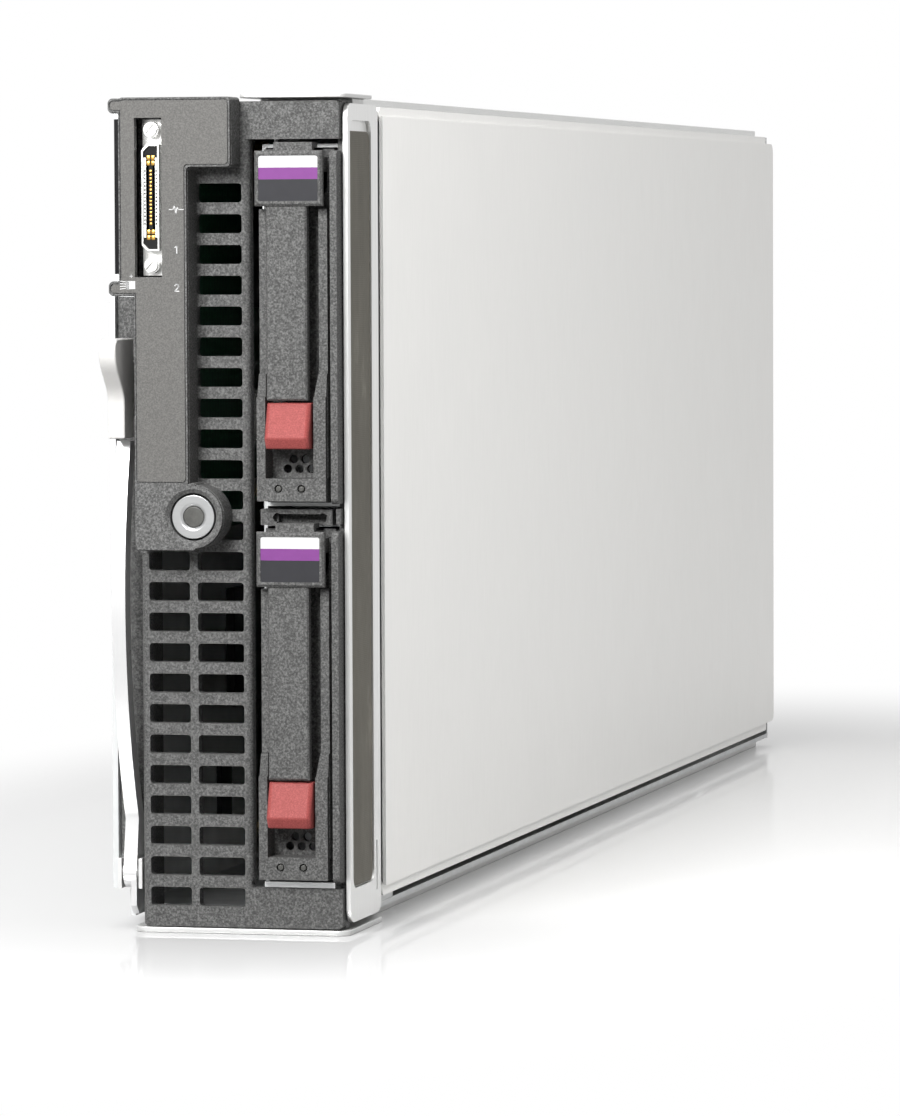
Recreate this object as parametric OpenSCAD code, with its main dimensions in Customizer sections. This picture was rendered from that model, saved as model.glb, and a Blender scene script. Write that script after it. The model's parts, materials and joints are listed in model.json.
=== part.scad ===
// Half-height blade server, standing upright on its lower edge.
// +X points to the access panel side, -Y to the front, +Z up. Lengths are in millimetres.
// Most pieces are drawn with y = 0 on the bezel's front plane, and from_bezel() puts them in place.

/* [Blade] */
// Width across the left wall and the access panel
blade_w = 55.5; // [54:0.1:62]
// Height from the base lip to the top of the lid
blade_h = 181.7; // [181:0.1:190]
// Depth from the bezel's front plane to the rear wall
blade_d = 506; // [500:1:540]
// Thickness of the tray's sheet steel
sheet_t = 1.2; // [0.8:0.1:1.5]
// Gap between pieces that move past each other
slide_gap = 0.4; // [0.3:0.05:0.5]
// Radial clearance of a pin in its bore
pin_gap = 0.05; // [0.02:0.01:0.1]

/* [Tray] */
// Distance from the bezel plane back to the left wall's front edge
wall_setback = 9; // [8:0.5:11]
// The same beside the control panel, where the wall is cut back
upper_setback = 13.5; // [12.5:0.5:16]
// Distance from the top of the blade down to the end of that cut-back
upper_step_drop = 42.7; // [42:0.1:43]
// Height of the tray floor's underside, which the lower rails fill
floor_rise = 2.6; // [2:0.1:3]
// Height of the open corner below the release lever
corner_h = 8.6; // [8:0.1:8.8]
// Depth of that open corner
corner_d = 24; // [20:1:30]
// Distance from the bezel plane to the floor of the lever channel
channel_d = 12; // [11.5:0.1:12.8]

/* [Lid and rails] */
// Height of the upper guide rails
top_rail_h = 1.9; // [1.5:0.1:2.4]
// Height of the lid above the upper rails
lid_rise = 0.5; // [0.3:0.1:0.8]
// Thickness of the base lip
lip_t = 1.2; // [0.8:0.1:1.4]
// Thickness of the lid
lid_t = 0.9; // [0.6:0.1:1]
// Depth of the lid
lid_d = 25; // [20:1:30]
// Depth of the base lip
lip_d = 32; // [28:1:36]
// Width of one guide rail
rail_w = 3.7; // [3:0.1:5]
// Distance from the blade's side to the rail's outer side
rail_inset = 5.05; // [4.5:0.05:7]
// Radius of the lip's and the lid's corners
lip_r = 3; // [1:0.5:4]

/* [Front bezel] */
// Thickness of the bezel plate
bezel_t = 3; // [2:0.1:3.5]
// Width of the lever channel left of the bezel
channel_w = 9.35; // [9:0.05:10]
// Distance from the blade's right side to the bezel's edge
bezel_right_gap = 1.35; // [1.3:0.05:1.6]
// Distance from the top of the blade to the bezel's top
bezel_drop = 1.6; // [1.4:0.1:1.9]
// Rounding of the bezel's left edge and of the edge beside the drives
bezel_round = 1.5; // [0.8:0.1:1.7]
// Depth of the wall behind the bezel's left edge
bezel_wall_d = 8.5; // [6:0.1:9]
// Vertical pitch of the air slots
slot_pitch = 6.63; // [6.2:0.01:7]
// Height of an air slot
slot_h = 4.1; // [3.5:0.1:4.8]
// Corner radius of an air slot
slot_r = 0.7; // [0.3:0.1:1]
// Width of a slot in the right column
slot_w = 10.28; // [9.5:0.01:10.5]
// Width of the bar between the slot columns
slot_bar_w = 1.77; // [1.2:0.01:2.4]
// Distance from the top of the blade to the first slot
slot_drop = 19.2; // [18.5:0.1:20]
// Rows beside the control panel, where the left column has no slot
panel_rows = 12; // [12:1:13]

/* [Control panel] */
// How far the control panel stands in front of the bezel
panel_proud = 7.6; // [6:0.1:9]
// Thickness of the printed overlay
overlay_t = 0.3; // [0.2:0.05:0.5]
// Wall thickness of the control panel
panel_wall = 1.6; // [1.2:0.1:2]
// Height of the panel's wide head
head_h = 15.1; // [14:0.1:15.5]
// Width of the narrow stem beside the connector
stem_w = 15.35; // [15:0.05:15.5]
// Height of the panel from its lower edge to its top
panel_h = 97.5; // [96:0.1:98]
// Height of the block that houses the power button
housing_h = 14.6; // [14:0.1:15.5]
// Height of each ear on the panel's left
ear_h = 3.2; // [2.5:0.1:4]
// Length of each ear
ear_w = 2.3; // [1.5:0.1:2.6]
// Width of the rim round the overlay
rim_w = 0.45; // [0.3:0.05:0.6]
// Width of the groove between the rim and the overlay
rim_groove = 0.25; // [0.15:0.05:0.4]
// Distance between the ears' upper sides
ear_pitch = 39.3; // [38:0.1:41]
// Outer radius of the power button's boss
boss_r = 6.9; // [6.5:0.1:7.3]

/* [Power button] */
// Radius of the button's ring
power_r = 4.75; // [4:0.05:5]
// Radius of the lamp in its centre
lamp_r = 2.3; // [1.5:0.1:2.6]
// Travel of the power button
power_travel = 0.8; // [0.5:0.1:1]

/* [Input and output connector] */
// Width of the cut-out for the connector
io_cut_w = 6.1; // [6:0.1:6.4]
// Height of that cut-out
io_cut_h = 34.2; // [34:0.1:35]
// Depth of the recess
io_recess_d = 5.4; // [4.5:0.1:5.6]
// Width of the connector's shell
io_shell_w = 3.9; // [3.6:0.1:4.2]
// Height of the connector's shell
io_shell_h = 22.9; // [22:0.1:23.5]
// Distance between the two jack sockets
jack_pitch = 29.2; // [28:0.1:30]
// Outer radius of a jack socket
jack_r = 1.7; // [1.5:0.05:1.9]
// Radius of the jack socket's thread
jack_thread_r = 1.1; // [0.9:0.05:1.2]

/* [Release lever] */
// Thickness of the lever, across the blade
lever_t = 3; // [2:0.1:3.2]
// Depth of the lever's bow
lever_d = 4; // [3:0.1:4.5]
// How far the bow's foot falls back behind its front
lever_sag = 9.42; // [8.5:0.1:9.8]
// How far the bow stands in front of the bezel
lever_proud = 3.4; // [2.5:0.1:4]
// Distance from the top of the blade down to the lever's tip
lever_drop = 74.9; // [74.8:0.1:80]
// Height of the lever's pivot
lever_pivot_z = 12.3; // [12.3:0.1:13]
// Radius of the lever's pivot boss
lever_boss_r = 3.3; // [3:0.1:3.5]
// Radius of the pivot pin
lever_pin_r = 1.5; // [1.2:0.05:1.6]
// Swing of the lever in degrees
lever_swing = 60; // [45:1:60]
// Height of the release button above the lever
catch_h = 21.6; // [18:0.1:22]
// How far the release button stands in front of the bezel
catch_proud = 11.6; // [10:0.1:13]
// How far its lower half stands in front of the bezel
catch_low = 4.9; // [4:0.1:6]
// Travel of the release button
catch_travel = 2.5; // [1.5:0.1:3]

/* [Label pull tab] */
// Thickness of the pull tab
tab_t = 0.8; // [0.5:0.1:1]
// Length of the pull tab
tab_l = 55; // [40:1:60]
// Height of the pull tab
tab_h = 33.5; // [30:0.5:34]
// Travel of the pull tab
tab_travel = 40; // [30:1:45]

/* [Side frame] */
// Depth of the steel frame at the front right
frame_d = 26.8; // [25:0.1:27.5]
// Thickness of the frame's skin
frame_t = 1; // [0.8:0.1:1]
// Width of the gasket's pocket
pocket_w = 18.5; // [17:0.1:19]
// Thickness of the gasket
gasket_t = 0.7; // [0.5:0.05:0.9]

/* [Access panel] */
// Thickness of the access panel
panel_t = 0.8; // [0.6:0.1:1]
// Gap between the side frame and the access panel
panel_front_gap = 4.6; // [3:0.1:6]
// Height of the joggled band above and below the panel's face
band_h = 2; // [1.5:0.1:2.2]
// Radius of the panel's rear corners
panel_r = 3; // [1:0.5:6]
// How far the lift-off panel is drawn away
panel_travel = 70; // [40:5:100]

/* [Drives] */
// Height of the lower carrier's underside
bay_z = 11.7; // [11.6:0.1:12]
// Gap between the two carriers
bay_gap = 5.5; // [5.3:0.1:6]
// Distance from the top of the upper carrier to the top of the blade
bay_drop = 11.9; // [11.8:0.1:12.5]
// Width of a carrier inside the cage
carrier_w = 15.7; // [15.6:0.05:16]
// Length of a carrier behind the bezel plane
carrier_l = 116; // [115:0.5:118]
// How far a drive is drawn out
drive_travel = 120; // [60:5:125]
// Free height above the disk in its carrier
disk_slack = 0.85; // [0.5:0.05:1.5]
// Length of the disk
disk_l = 100; // [98:0.5:100.5]
// Thickness of the disk
disk_t = 14.8; // [9:0.1:15]
// Swing of a carrier's lever in degrees
ejector_swing = 45; // [30:1:45]
// Radius of the ejector's pivot pin
ejector_pin_r = 0.8; // [0.6:0.05:0.9]
// Travel of a carrier's release button
eject_travel = 1.5; // [1:0.1:1.8]

/* [Drive cage] */
// Thickness of the cage's sheet
cage_t = 0.8; // [0.6:0.1:0.8]
// Gap beside a carrier in the cage
cage_gap = 0.35; // [0.3:0.05:0.5]
// Distance from the bezel plane to the cage
cage_y = 6; // [6:0.1:7]
// Distance from the blade's right side to the cage's outer face
cage_inset = 2; // [1.9:0.05:2.2]

/* [Electronics] */
// Thickness of a circuit board
board_t = 1.6; // [1.2:0.1:2]
// Height of the standoffs under the system board
standoff_h = 4.15; // [3:0.05:5]
// Radius of a standoff
standoff_r = 2.5; // [2:0.1:3]
// Length of a heatsink along the air flow
sink_l = 80; // [70:1:84]
// Width of a heatsink
sink_w = 68; // [60:1:68]
// Height of a heatsink's fins
sink_h = 33; // [25:1:34]
// Pitch of the heatsink's fins
fin_pitch = 2.4; // [2:0.1:4]
// Thickness of a fin
fin_t = 0.5; // [0.4:0.1:0.8]
// Memory modules in each bank
module_count = 6; // [2:1:6]
// Distance from the outermost memory module to the tray's roof and floor
bank_margin = 9; // [8:0.1:11]
// Length of a memory module
module_l = 133.35; // [120:0.05:140]
// Height of a memory module
module_h = 30; // [18:0.1:30.5]
// Swing of the memory latches in degrees
latch_swing = 20; // [10:1:25]
// Length of a mezzanine card
mezz_l = 100; // [90:1:105]
// Distance from a mezzanine card's edge to the system board's edge
mezz_margin = 5; // [4:0.5:8]

/* [Rear connectors] */
// Radius of the bores that take the enclosure's guide pins
guide_bore_r = 4; // [3:0.1:4.5]
// Depth of those bores
guide_bore_l = 20; // [15:1:25]

/* [Hidden] */
$fn = 48;
eps = 0.01;

// Overall places
left_x = -blade_w / 2;
right_x = blade_w / 2;
bezel_y = catch_proud - (blade_d + catch_proud) / 2;
seat_gap = 0.3;
floor_top = floor_rise + sheet_t;
roof_top = blade_h - lid_rise - top_rail_h;
roof_low = roof_top - sheet_t;
wall_in = left_x + sheet_t;
mid_z = blade_h / 2;
upper_step_z = blade_h - upper_step_drop;

// Access panel
panel_face_x = right_x - panel_t;
band_x = panel_face_x - panel_t;
tray_right = band_x - seat_gap;
frame_y0 = 2;
frame_y1 = frame_y0 + frame_d;
panel_y0 = frame_y1 + panel_front_gap;
band_z0 = floor_top + 1.6;
band_z1 = roof_top;
face_z0 = band_z0 + band_h + seat_gap;
face_z1 = band_z1 - band_h;
band_lap = 1;
band_y1 = blade_d - 8;
frame_z0 = lip_t + 1.4;
frame_z1 = roof_top + seat_gap;
pocket_y0 = frame_y0 + 2.3;
pocket_z0 = frame_z0 + 7.3;
pocket_z1 = frame_z1 - 3.6;
pocket_r = 3;
gasket_z1 = pocket_z1 - 2.3;

// Drive cage and carriers
carrier_h = (blade_h - bay_drop - bay_gap - bay_z) / 2;
bay_pitch = carrier_h + bay_gap;
cage_x1 = right_x - cage_inset;
carrier_x1 = cage_x1 - cage_t - cage_gap;
carrier_x0 = carrier_x1 - carrier_w;
cage_x0 = carrier_x0 - cage_gap - cage_t;
cage_d = carrier_l + 1;
rail_seat = 0.3;
rail_t = 2.2;
cage_z0 = bay_z - cage_t;
cage_z1 = bay_z + bay_pitch + carrier_h + cage_gap + cage_t;
flange_y0 = frame_y1 - 4;
flange_y1 = panel_y0 + 14;
backplane_y = cage_d + seat_gap;
disk_y = 14;
disk_z = rail_seat + rail_t + seat_gap;
disk_h = carrier_h - 2 * disk_z - disk_slack;
plug_x = carrier_x0 + 7.3;
plug_t = 1.4;
plug_l = 2;
plug_z0 = 10;
plug_z1 = 40;

// Bezel
bezel_x0 = left_x + channel_w;
bezel_x1 = right_x - bezel_right_gap;
bezel_z0 = lip_t + seat_gap;
bezel_z1 = blade_h - bezel_drop;
opening_x0 = cage_x0 - 1.3;
opening_z0 = cage_z0 - 0.7;
opening_z1 = bay_z + bay_pitch + carrier_h + 2.15;
opening_relief_r = 1;
strip_w = 1;
strip_d = 3;
slot_x1 = opening_x0 - 1.78;
slot_x0 = slot_x1 - slot_w;
left_slot_x1 = slot_x0 - slot_bar_w;
left_slot_x0 = bezel_x0 + 1.85;
slot_z1 = blade_h - slot_drop;
slot_rows = floor((slot_z1 - bezel_z0 - slot_h - 3) / slot_pitch) + 1;

// Control panel
panel_z1 = blade_h - 0.7;
head_x0 = left_x + 6.95;
head_x1 = slot_x1 - 0.32;
stem_x1 = slot_x0 + 0.21;
stem_x0 = bezel_x0 + 0.9;
head_z0 = panel_z1 - head_h;
panel_z0 = panel_z1 - panel_h;
overlay_z0 = panel_z0 + housing_h;
low_ear_z1 = panel_z1 - 0.2 - ear_pitch;
boss_x = stem_x1 + 0.75;
boss_z = panel_z0 + housing_h / 2;
panel_front = -panel_proud + overlay_t;
panel_corner_r = 0.8;
edge_c = 0.4;

// Input and output connector
io_x0 = stem_x0 + 0.4;
io_x = io_x0 + 2.8;
io_z1 = panel_z1 - 4.4;
io_z0 = io_z1 - io_cut_h;
io_z = (io_z0 + io_z1) / 2;
recess_y = -panel_proud + io_recess_d;
shell_y = recess_y - 2.8;
shell_wall = 0.35;

// Release lever and its button
lever_x0 = left_x + 3.75;
lever_x1 = lever_x0 + lever_t;
lever_tip_z = blade_h - lever_drop;
bow_z0 = lever_pivot_z + 11.7;
bow_z = bow_z0 + 0.58 * (lever_tip_z - bow_z0);
lever_bow_r = (pow(bow_z - bow_z0, 2) + pow(lever_sag, 2)) / (2 * lever_sag);
bow_y = lever_bow_r - lever_proud;
lever_pivot_y = 7;
pin_ear_h = 3.3;
ear_t = 0.9;
claw_t = 1.3;
claw_y0 = lever_pivot_y - 3;
claw_y1 = lever_pivot_y + 2;
claw_z0 = lever_pivot_z - 9;
catch_z0 = lever_tip_z + 0.7;
catch_x1 = lever_x1 + 0.6;
catch_y1 = 2.5;
catch_stem_x0 = lever_x0 + 0.6;
catch_stem_x1 = catch_x1 - 0.8;
catch_stem_in = 5;

// Label pull tab
tab_x0 = left_x + 4.3;
tab_z1 = panel_z1 - ear_h - 1.3;
tab_front = -0.6;
sleeve_wall = 0.5;

// Electronics
board_x0 = wall_in + standoff_h;
board_x1 = board_x0 + board_t;
board_y0 = backplane_y + board_t + 4;
board_y1 = blade_d - sheet_t - 5;
board_z0 = floor_top + 2.2;
board_z1 = roof_low - 2.1;
tongue_y0 = channel_d + sheet_t + 6;
tongue_z0 = mid_z + 4;
tongue_z1 = upper_step_z - 1;
socket_h = 2.2;
package_h = 2.2;
sink_base_t = 3;
sink_x0 = board_x1 + socket_h + package_h;
sink_gap = 7;
cpu_size = 43;
sink_1_y = board_y0 + 6;
sink_2_y = sink_1_y + sink_l + sink_gap;
bank_y = board_y0 + 16;
slot_h_x = 5.5;
slot_z = 5.6;
module_t = 1.3;
spreader_t = 0.8;
bank_inner = sink_w / 2 + 4.2;
module_pitch = (roof_low - mid_z - bank_inner - bank_margin) / (module_count - 1);
latch_t = 2.4;
latch_y_gap = 0.9;
tower_l = 7;
latch_l = 4.5;
latch_pin_r = 0.8;
latch_pin_x = board_x1 + 2.4;
latch_top_x = board_x1 + 16;
mezz_y = sink_2_y + sink_l + 26;
mezz_x = board_x1 + 14.8;
mezz_gap = 4;
mezz_w = (board_z1 - board_z0) / 2 - mezz_gap - mezz_margin;
baffle_t = 1.5;
baffle_y = sink_2_y + sink_l + 5;
connector_y = blade_d - 30;

// ---- Drawing helpers ----

// Moves a piece from bezel coordinates to the blade's own origin
module from_bezel() {
    translate([0, bezel_y, 0]) children();
}

// A box between two corners
module slab(x0, x1, y0, y1, z0, z1) {
    translate([x0, y0, z0]) cube([x1 - x0, y1 - y0, z1 - z0]);
}

// A box with its front edges bevelled
module soft_slab(x0, x1, y0, y1, z0, z1, c = edge_c) {
    hull() {
        slab(x0, x1, y0 + c, y1, z0, z1);
        slab(x0 + c, x1 - c, y0, y1, z0 + c, z1 - c);
    }
}

// Extrudes an (x, z) drawing from y0 to y1
module front_shape(y0, y1) {
    translate([0, y1, 0]) rotate([90, 0, 0]) linear_extrude(y1 - y0) children();
}

// Extrudes a (y, z) drawing from x0 to x1
module side_shape(x0, x1) {
    translate([x0, 0, 0]) rotate([90, 0, 90]) linear_extrude(x1 - x0) children();
}

// A round bar along Y, X or Z
module bar_y(r, x, z, y0, y1) {
    translate([x, y1, z]) rotate([90, 0, 0]) cylinder(h = y1 - y0, r = r);
}
module bar_x(r, y, z, x0, x1) {
    translate([x0, y, z]) rotate([0, 90, 0]) cylinder(h = x1 - x0, r = r);
}
module bar_z(r, x, y, z0, z1) {
    translate([x, y, z0]) cylinder(h = z1 - z0, r = r);
}

// A rectangle with round corners
module round_rect(a0, a1, b0, b1, r) {
    translate([a0 + r, b0]) square([a1 - a0 - 2 * r, b1 - b0]);
    translate([a0, b0 + r]) square([a1 - a0, b1 - b0 - 2 * r]);
    for (a = [a0 + r, a1 - r], b = [b0 + r, b1 - r])
        translate([a, b]) circle(r = r);
}

// A rectangle with plain corners
module plain_rect(a0, a1, b0, b1) {
    translate([a0, b0]) square([a1 - a0, b1 - b0]);
}

// Height of the underside of drive 1 (upper) or drive 2 (lower)
function drive_z(number) = bay_z + (2 - number) * bay_pitch;

// ---- Chassis ----

guide_z = [floor_top + 22, roof_low - 24];
signal_z0 = mid_z - 32;
signal_z1 = mid_z + 12;
power_z0 = mid_z + 22;
power_z1 = mid_z + 44;
guide_x = board_x1 + 12;
guide_block = 7;

module tray_walls() {
    slab(left_x, tray_right, wall_setback, blade_d, floor_rise, floor_top);
    slab(left_x, tray_right, upper_setback, blade_d, roof_low, roof_top);
    slab(left_x, wall_in, wall_setback, blade_d, floor_rise, roof_top);
    slab(left_x, tray_right, blade_d - sheet_t, blade_d, floor_rise, roof_top);
    slab(left_x, bezel_x0 - seat_gap, channel_d, channel_d + sheet_t, corner_h, upper_step_z);
}

// The open corner, the wall's cut-back and the slot that the lever's claw swings through
module tray_front_cuts() {
    slab(left_x - 1, lever_x1 + 1.5, 0, corner_d, 0, corner_h);
    slab(left_x - 1, wall_in + eps, 0, upper_setback, upper_step_z, blade_h);
    lever_slots();
}

// Slots in the channel's floor for the lever's claw and the release button's stem
module lever_slots() {
    y0 = bezel_t + bezel_wall_d - 2;
    y1 = channel_d + 2 * sheet_t;
    slab(lever_x0 - slide_gap, lever_x1 + slide_gap + 0.6, y0, y1, corner_h - 1, lever_pivot_z + 3.5);
    slab(catch_stem_x0 - slide_gap, catch_stem_x1 + slide_gap, y0, y1, catch_z0 + catch_stem_in - slide_gap,
        catch_z0 + catch_h - catch_stem_in + slide_gap);
}

// Folded flanges round the open corner: a short ledge, and a web down to the floor
module corner_flanges() {
    web_x = lever_x1 - claw_t - slide_gap - sheet_t;
    slab(left_x, web_x + sheet_t, channel_d, corner_d, corner_h - eps, corner_h + sheet_t);
    slab(web_x, web_x + sheet_t, wall_setback, corner_d, floor_rise, corner_h + eps);
}

module tray_rear_cuts() {
    y0 = blade_d - 2 * sheet_t;
    y1 = blade_d + 1;
    slab(board_x1 - 1, board_x1 + 24, y0, y1, signal_z0 - 1, signal_z1 + 1);
    slab(board_x1 - 1, board_x1 + 20, y0, y1, power_z0 - 1, power_z1 + 1);
    for (z = guide_z) bar_y(guide_bore_r + 1, guide_x, z, y0, y1);
    vent_x0 = board_x1 + 27;
    for (i = [0 : 3], k = [0 : 15])
        bar_y(1.7, vent_x0 + i * 5, floor_top + 12 + k * (roof_low - floor_top - 24) / 15, y0, y1);
}

module chassis_tray() {
    color("#c9cbcc") from_bezel() difference() {
        tray_walls();
        tray_front_cuts();
        tray_rear_cuts();
    }
    color("#c9cbcc") from_bezel() difference() {
        corner_flanges();
        lever_slots();
    }
}

// One row of the bezel's air slots
module slot_row(row) {
    z1 = slot_z1 - row * slot_pitch;
    round_rect(slot_x0, slot_x1, z1 - slot_h, z1, slot_r);
    if (row >= panel_rows) round_rect(left_slot_x0, left_slot_x1, z1 - slot_h, z1, slot_r);
}

module bezel_outline() {
    difference() {
        round_rect(bezel_x0, bezel_x1, bezel_z0, bezel_z1, 1);
        for (row = [0 : slot_rows - 1]) slot_row(row);
        plain_rect(opening_x0, bezel_x1 + 1, opening_z0, opening_z1);
        // Round relief in the opening's lower corner
        translate([opening_x0 + 0.5, opening_z0 + opening_relief_r]) circle(r = opening_relief_r);
        plain_rect(io_x0 - 0.4, io_x0 + io_cut_w + 0.4, io_z0 - 0.4, io_z1 + 0.4);
        translate([boss_x, boss_z]) circle(r = power_r + slide_gap);
    }
}

// What a rounding of radius r takes off a front edge that faces +X at x
module edge_cut(x, r, z0, z1) {
    difference() {
        slab(x - r, x + 1, -1, r, z0, z1);
        bar_z(r, x - r, r, z0 - 1, z1 + 1);
    }
}

// The bezel keeps a strip behind the carriers' outer rails, and a knuckle between the two bays
module front_bezel() {
    strip_x0 = bezel_x1 - strip_w;
    knuckle_z0 = bay_z + carrier_h + 1.1;
    knuckle_z1 = bay_z + bay_pitch - 1.1;
    color("#5b5c5d") from_bezel() {
        difference() {
            front_shape(0, bezel_t) bezel_outline();
            edge_cut(opening_x0, bezel_round, opening_z0, opening_z1);
            mirror([1, 0, 0]) edge_cut(-bezel_x0, bezel_round, bezel_z0 - 1, panel_z0 - 1);
        }
        channel_liner();
        slab(bezel_x0, bezel_x0 + 1.5, bezel_t - eps, bezel_t + bezel_wall_d, floor_top + seat_gap,
            roof_low - seat_gap);
        slab(strip_x0, bezel_x1, bezel_t - eps, bezel_t + strip_d, bezel_z0, bezel_z1);
        slab(strip_x0, bezel_x1, 0, bezel_t, knuckle_z0, knuckle_z1);
    }
}

// Dark floor of the lever's channel, behind the lever
module channel_liner() {
    difference() {
        slab(wall_in + seat_gap, bezel_x0 + 1, bezel_t + bezel_wall_d - 1, channel_d,
            lever_pivot_z + pin_ear_h + seat_gap, upper_step_z - 1);
        lever_slots();
    }
}

// Head and stem of the control panel, drawn in by c; the stem ends at stem_low
module panel_sheet(c, stem_low) {
    r = panel_corner_r;
    round_rect(head_x0 + c, head_x1 - c, head_z0 + c, panel_z1 - c, r);
    round_rect(head_x0 + c, stem_x1 - c, low_ear_z1 - ear_h + c, panel_z1 - c, r);
    round_rect(stem_x0 + c, stem_x1 - c, stem_low + c, panel_z1 - c, r);
    // Rounding in the corner between the stem and the head
    translate([stem_x1 - c, head_z0 + c]) difference() {
        translate([-r, -r]) square([2 * r, 2 * r]);
        translate([r, -r]) circle(r = r);
    }
}

// The two ears on the panel's left, drawn in by c
module panel_ears(c) {
    for (z1 = [panel_z1 - 0.2, low_ear_z1])
        round_rect(head_x0 - ear_w + c, head_x0 + 2, z1 - ear_h + c, z1 - c, ear_h / 2 - rim_w - rim_groove - eps);
}

// The sheet's outline with the power button's boss
module panel_body(c) {
    panel_sheet(c, panel_z0);
    round_rect(stem_x0 + c, boss_x + panel_corner_r, panel_z0 + c, panel_z0 + housing_h - c, panel_corner_r);
    translate([boss_x, boss_z]) circle(r = boss_r - c);
}

// Full outline, with the two ears
module panel_outline(c) {
    panel_body(c);
    panel_ears(c);
}

// Seat of the overlay, drawn in by c from the panel's outline
module overlay_outline(c) {
    panel_sheet(c, overlay_z0 - rim_w);
    panel_ears(c);
}

module io_cut_out() {
    plain_rect(io_x0, io_x0 + io_cut_w, io_z0, io_z1);
}

module control_panel() {
    button_hole_r = power_r + slide_gap;
    color("#666768") from_bezel() difference() {
        union() {
            front_shape(-panel_proud, 1 - panel_proud) panel_outline(0.15);
            front_shape(1 - panel_proud - eps, 0) panel_outline(0);
        }
        front_shape(-panel_proud - 1, panel_front) overlay_outline(rim_w);
        front_shape(panel_front + panel_wall, 1) difference() {
            panel_body(panel_wall);
            translate([boss_x, boss_z]) circle(r = button_hole_r + panel_wall);
        }
        front_shape(panel_front - 1, 1) io_cut_out();
        bar_y(button_hole_r, boss_x, boss_z, panel_front - 1, 1);
        // Countersink round the power button
        translate([boss_x, 0.9 - panel_proud, boss_z]) rotate([90, 0, 0])
            cylinder(h = 1, r1 = button_hole_r - 0.1, r2 = button_hole_r + 1);
    }
}

// Thin printed sheet over the head and stem
module panel_overlay() {
    color("#6b6c6c") from_bezel() front_shape(-panel_proud, panel_front) difference() {
        overlay_outline(rim_w + rim_groove);
        io_cut_out();
    }
}

// Plate on a block that stands on the tray's roof
module top_lid() {
    lid_x0 = slot_x1 - 0.6;
    lid_z0 = blade_h - lid_t;
    foot_in = 1;
    color("#d6d6d5") from_bezel() {
        translate([0, 0, lid_z0]) linear_extrude(lid_t) round_rect(lid_x0, right_x, 0, lid_d, lip_r / 2);
        slab(lid_x0 + foot_in, tray_right, upper_setback + foot_in, lid_d - foot_in, roof_top, lid_z0 + eps);
    }
}

module base_lip() {
    color("#d6d6d5") from_bezel()
        linear_extrude(lip_t) round_rect(left_x + 7.05, right_x, 0, lip_d, lip_r);
}

// Steel skin with a pocket for the gasket, on a backing pan
module side_frame() {
    skin_x = right_x - frame_t;
    color("#d3d4d4") from_bezel() {
        difference() {
            side_shape(skin_x, right_x) round_rect(frame_y0, frame_y1, frame_z0, frame_z1, pocket_r);
            side_shape(skin_x - 1, right_x + 1)
                round_rect(pocket_y0, pocket_y0 + pocket_w, pocket_z0, pocket_z1, pocket_r - 0.5);
            slab(skin_x - 1, right_x + 1, frame_y1 - 4, frame_y1 - 3.2, frame_z0 + 5, frame_z0 + 16);
        }
        slab(cage_x1, skin_x + eps, bezel_t + strip_d + seat_gap, frame_y1 - 2, frame_z0 + 2, frame_z1 - 2);
    }
}

module emi_gasket() {
    skin_x = right_x - frame_t;
    color("#7d786e") from_bezel() side_shape(skin_x + eps, skin_x + gasket_t)
        round_rect(pocket_y0 + seat_gap, pocket_y0 + pocket_w - seat_gap, pocket_z0 + seat_gap, gasket_z1,
            pocket_r - 0.8);
}

// Four grooved rails that run in the enclosure's slots
module guide_rail(x0, z0, h, y0, groove_z) {
    difference() {
        translate([0, 0, z0]) linear_extrude(h) round_rect(x0, x0 + rail_w, y0, blade_d, rail_w / 2 - eps);
        slab(x0 + 1.2, x0 + rail_w - 1.2, y0 + 4, blade_d - 4, groove_z, groove_z + 1);
    }
}

module guide_rails() {
    color("#cfd0d0") from_bezel() for (x0 = [right_x - rail_inset - rail_w, left_x + rail_inset]) {
        guide_rail(x0, 0, floor_rise, lip_d + seat_gap, -0.5);
        guide_rail(x0, roof_top, top_rail_h, lid_d + seat_gap, roof_top + top_rail_h - 0.5);
    }
}

// ---- Front connector ----

// Outline of the connector's shell, drawn in by c
module shell_outline(c) {
    w = io_shell_w / 2 - c;
    h = io_shell_h / 2 - c;
    cut = 1.2;
    polygon([[-w, -h + cut], [-w + cut, -h], [w, -h], [w, h], [-w + cut, h], [-w, h - cut]]);
}

module io_shell() {
    color("#d8d8d6") from_bezel() translate([io_x, 0, io_z]) {
        front_shape(shell_y, recess_y + 6) difference() {
            shell_outline(0);
            shell_outline(shell_wall);
        }
        front_shape(recess_y, recess_y + 0.5) difference() {
            plain_rect(-io_shell_w / 2 - 0.5, io_shell_w / 2 + 0.5, -io_cut_h / 2 + 0.3, io_cut_h / 2 - 0.3);
            shell_outline(shell_wall);
            for (z = [-jack_pitch / 2, jack_pitch / 2]) translate([0, z]) circle(r = jack_r - 0.4);
        }
    }
}

// Insulator with a centre slot and a contact tongue
module io_insert() {
    color("#1d1d1d") from_bezel() translate([io_x, 0, io_z]) difference() {
        front_shape(shell_y + 0.5, recess_y + 6) shell_outline(shell_wall);
        for (x = [-0.95, 0.45]) front_shape(shell_y, recess_y) plain_rect(x, x + 0.5, -9, 9);
    }
}

module jack_sockets() {
    color("#cfcfca") from_bezel() for (z = [io_z - jack_pitch / 2, io_z + jack_pitch / 2]) difference() {
        union() {
            bar_y(jack_r, io_x, z, recess_y - 2, recess_y);
            bar_y(jack_r - 0.4, io_x, z, recess_y - eps, recess_y + 5);
        }
        bar_y(jack_thread_r, io_x, z, recess_y - 3, recess_y + 3);
    }
}

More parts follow.
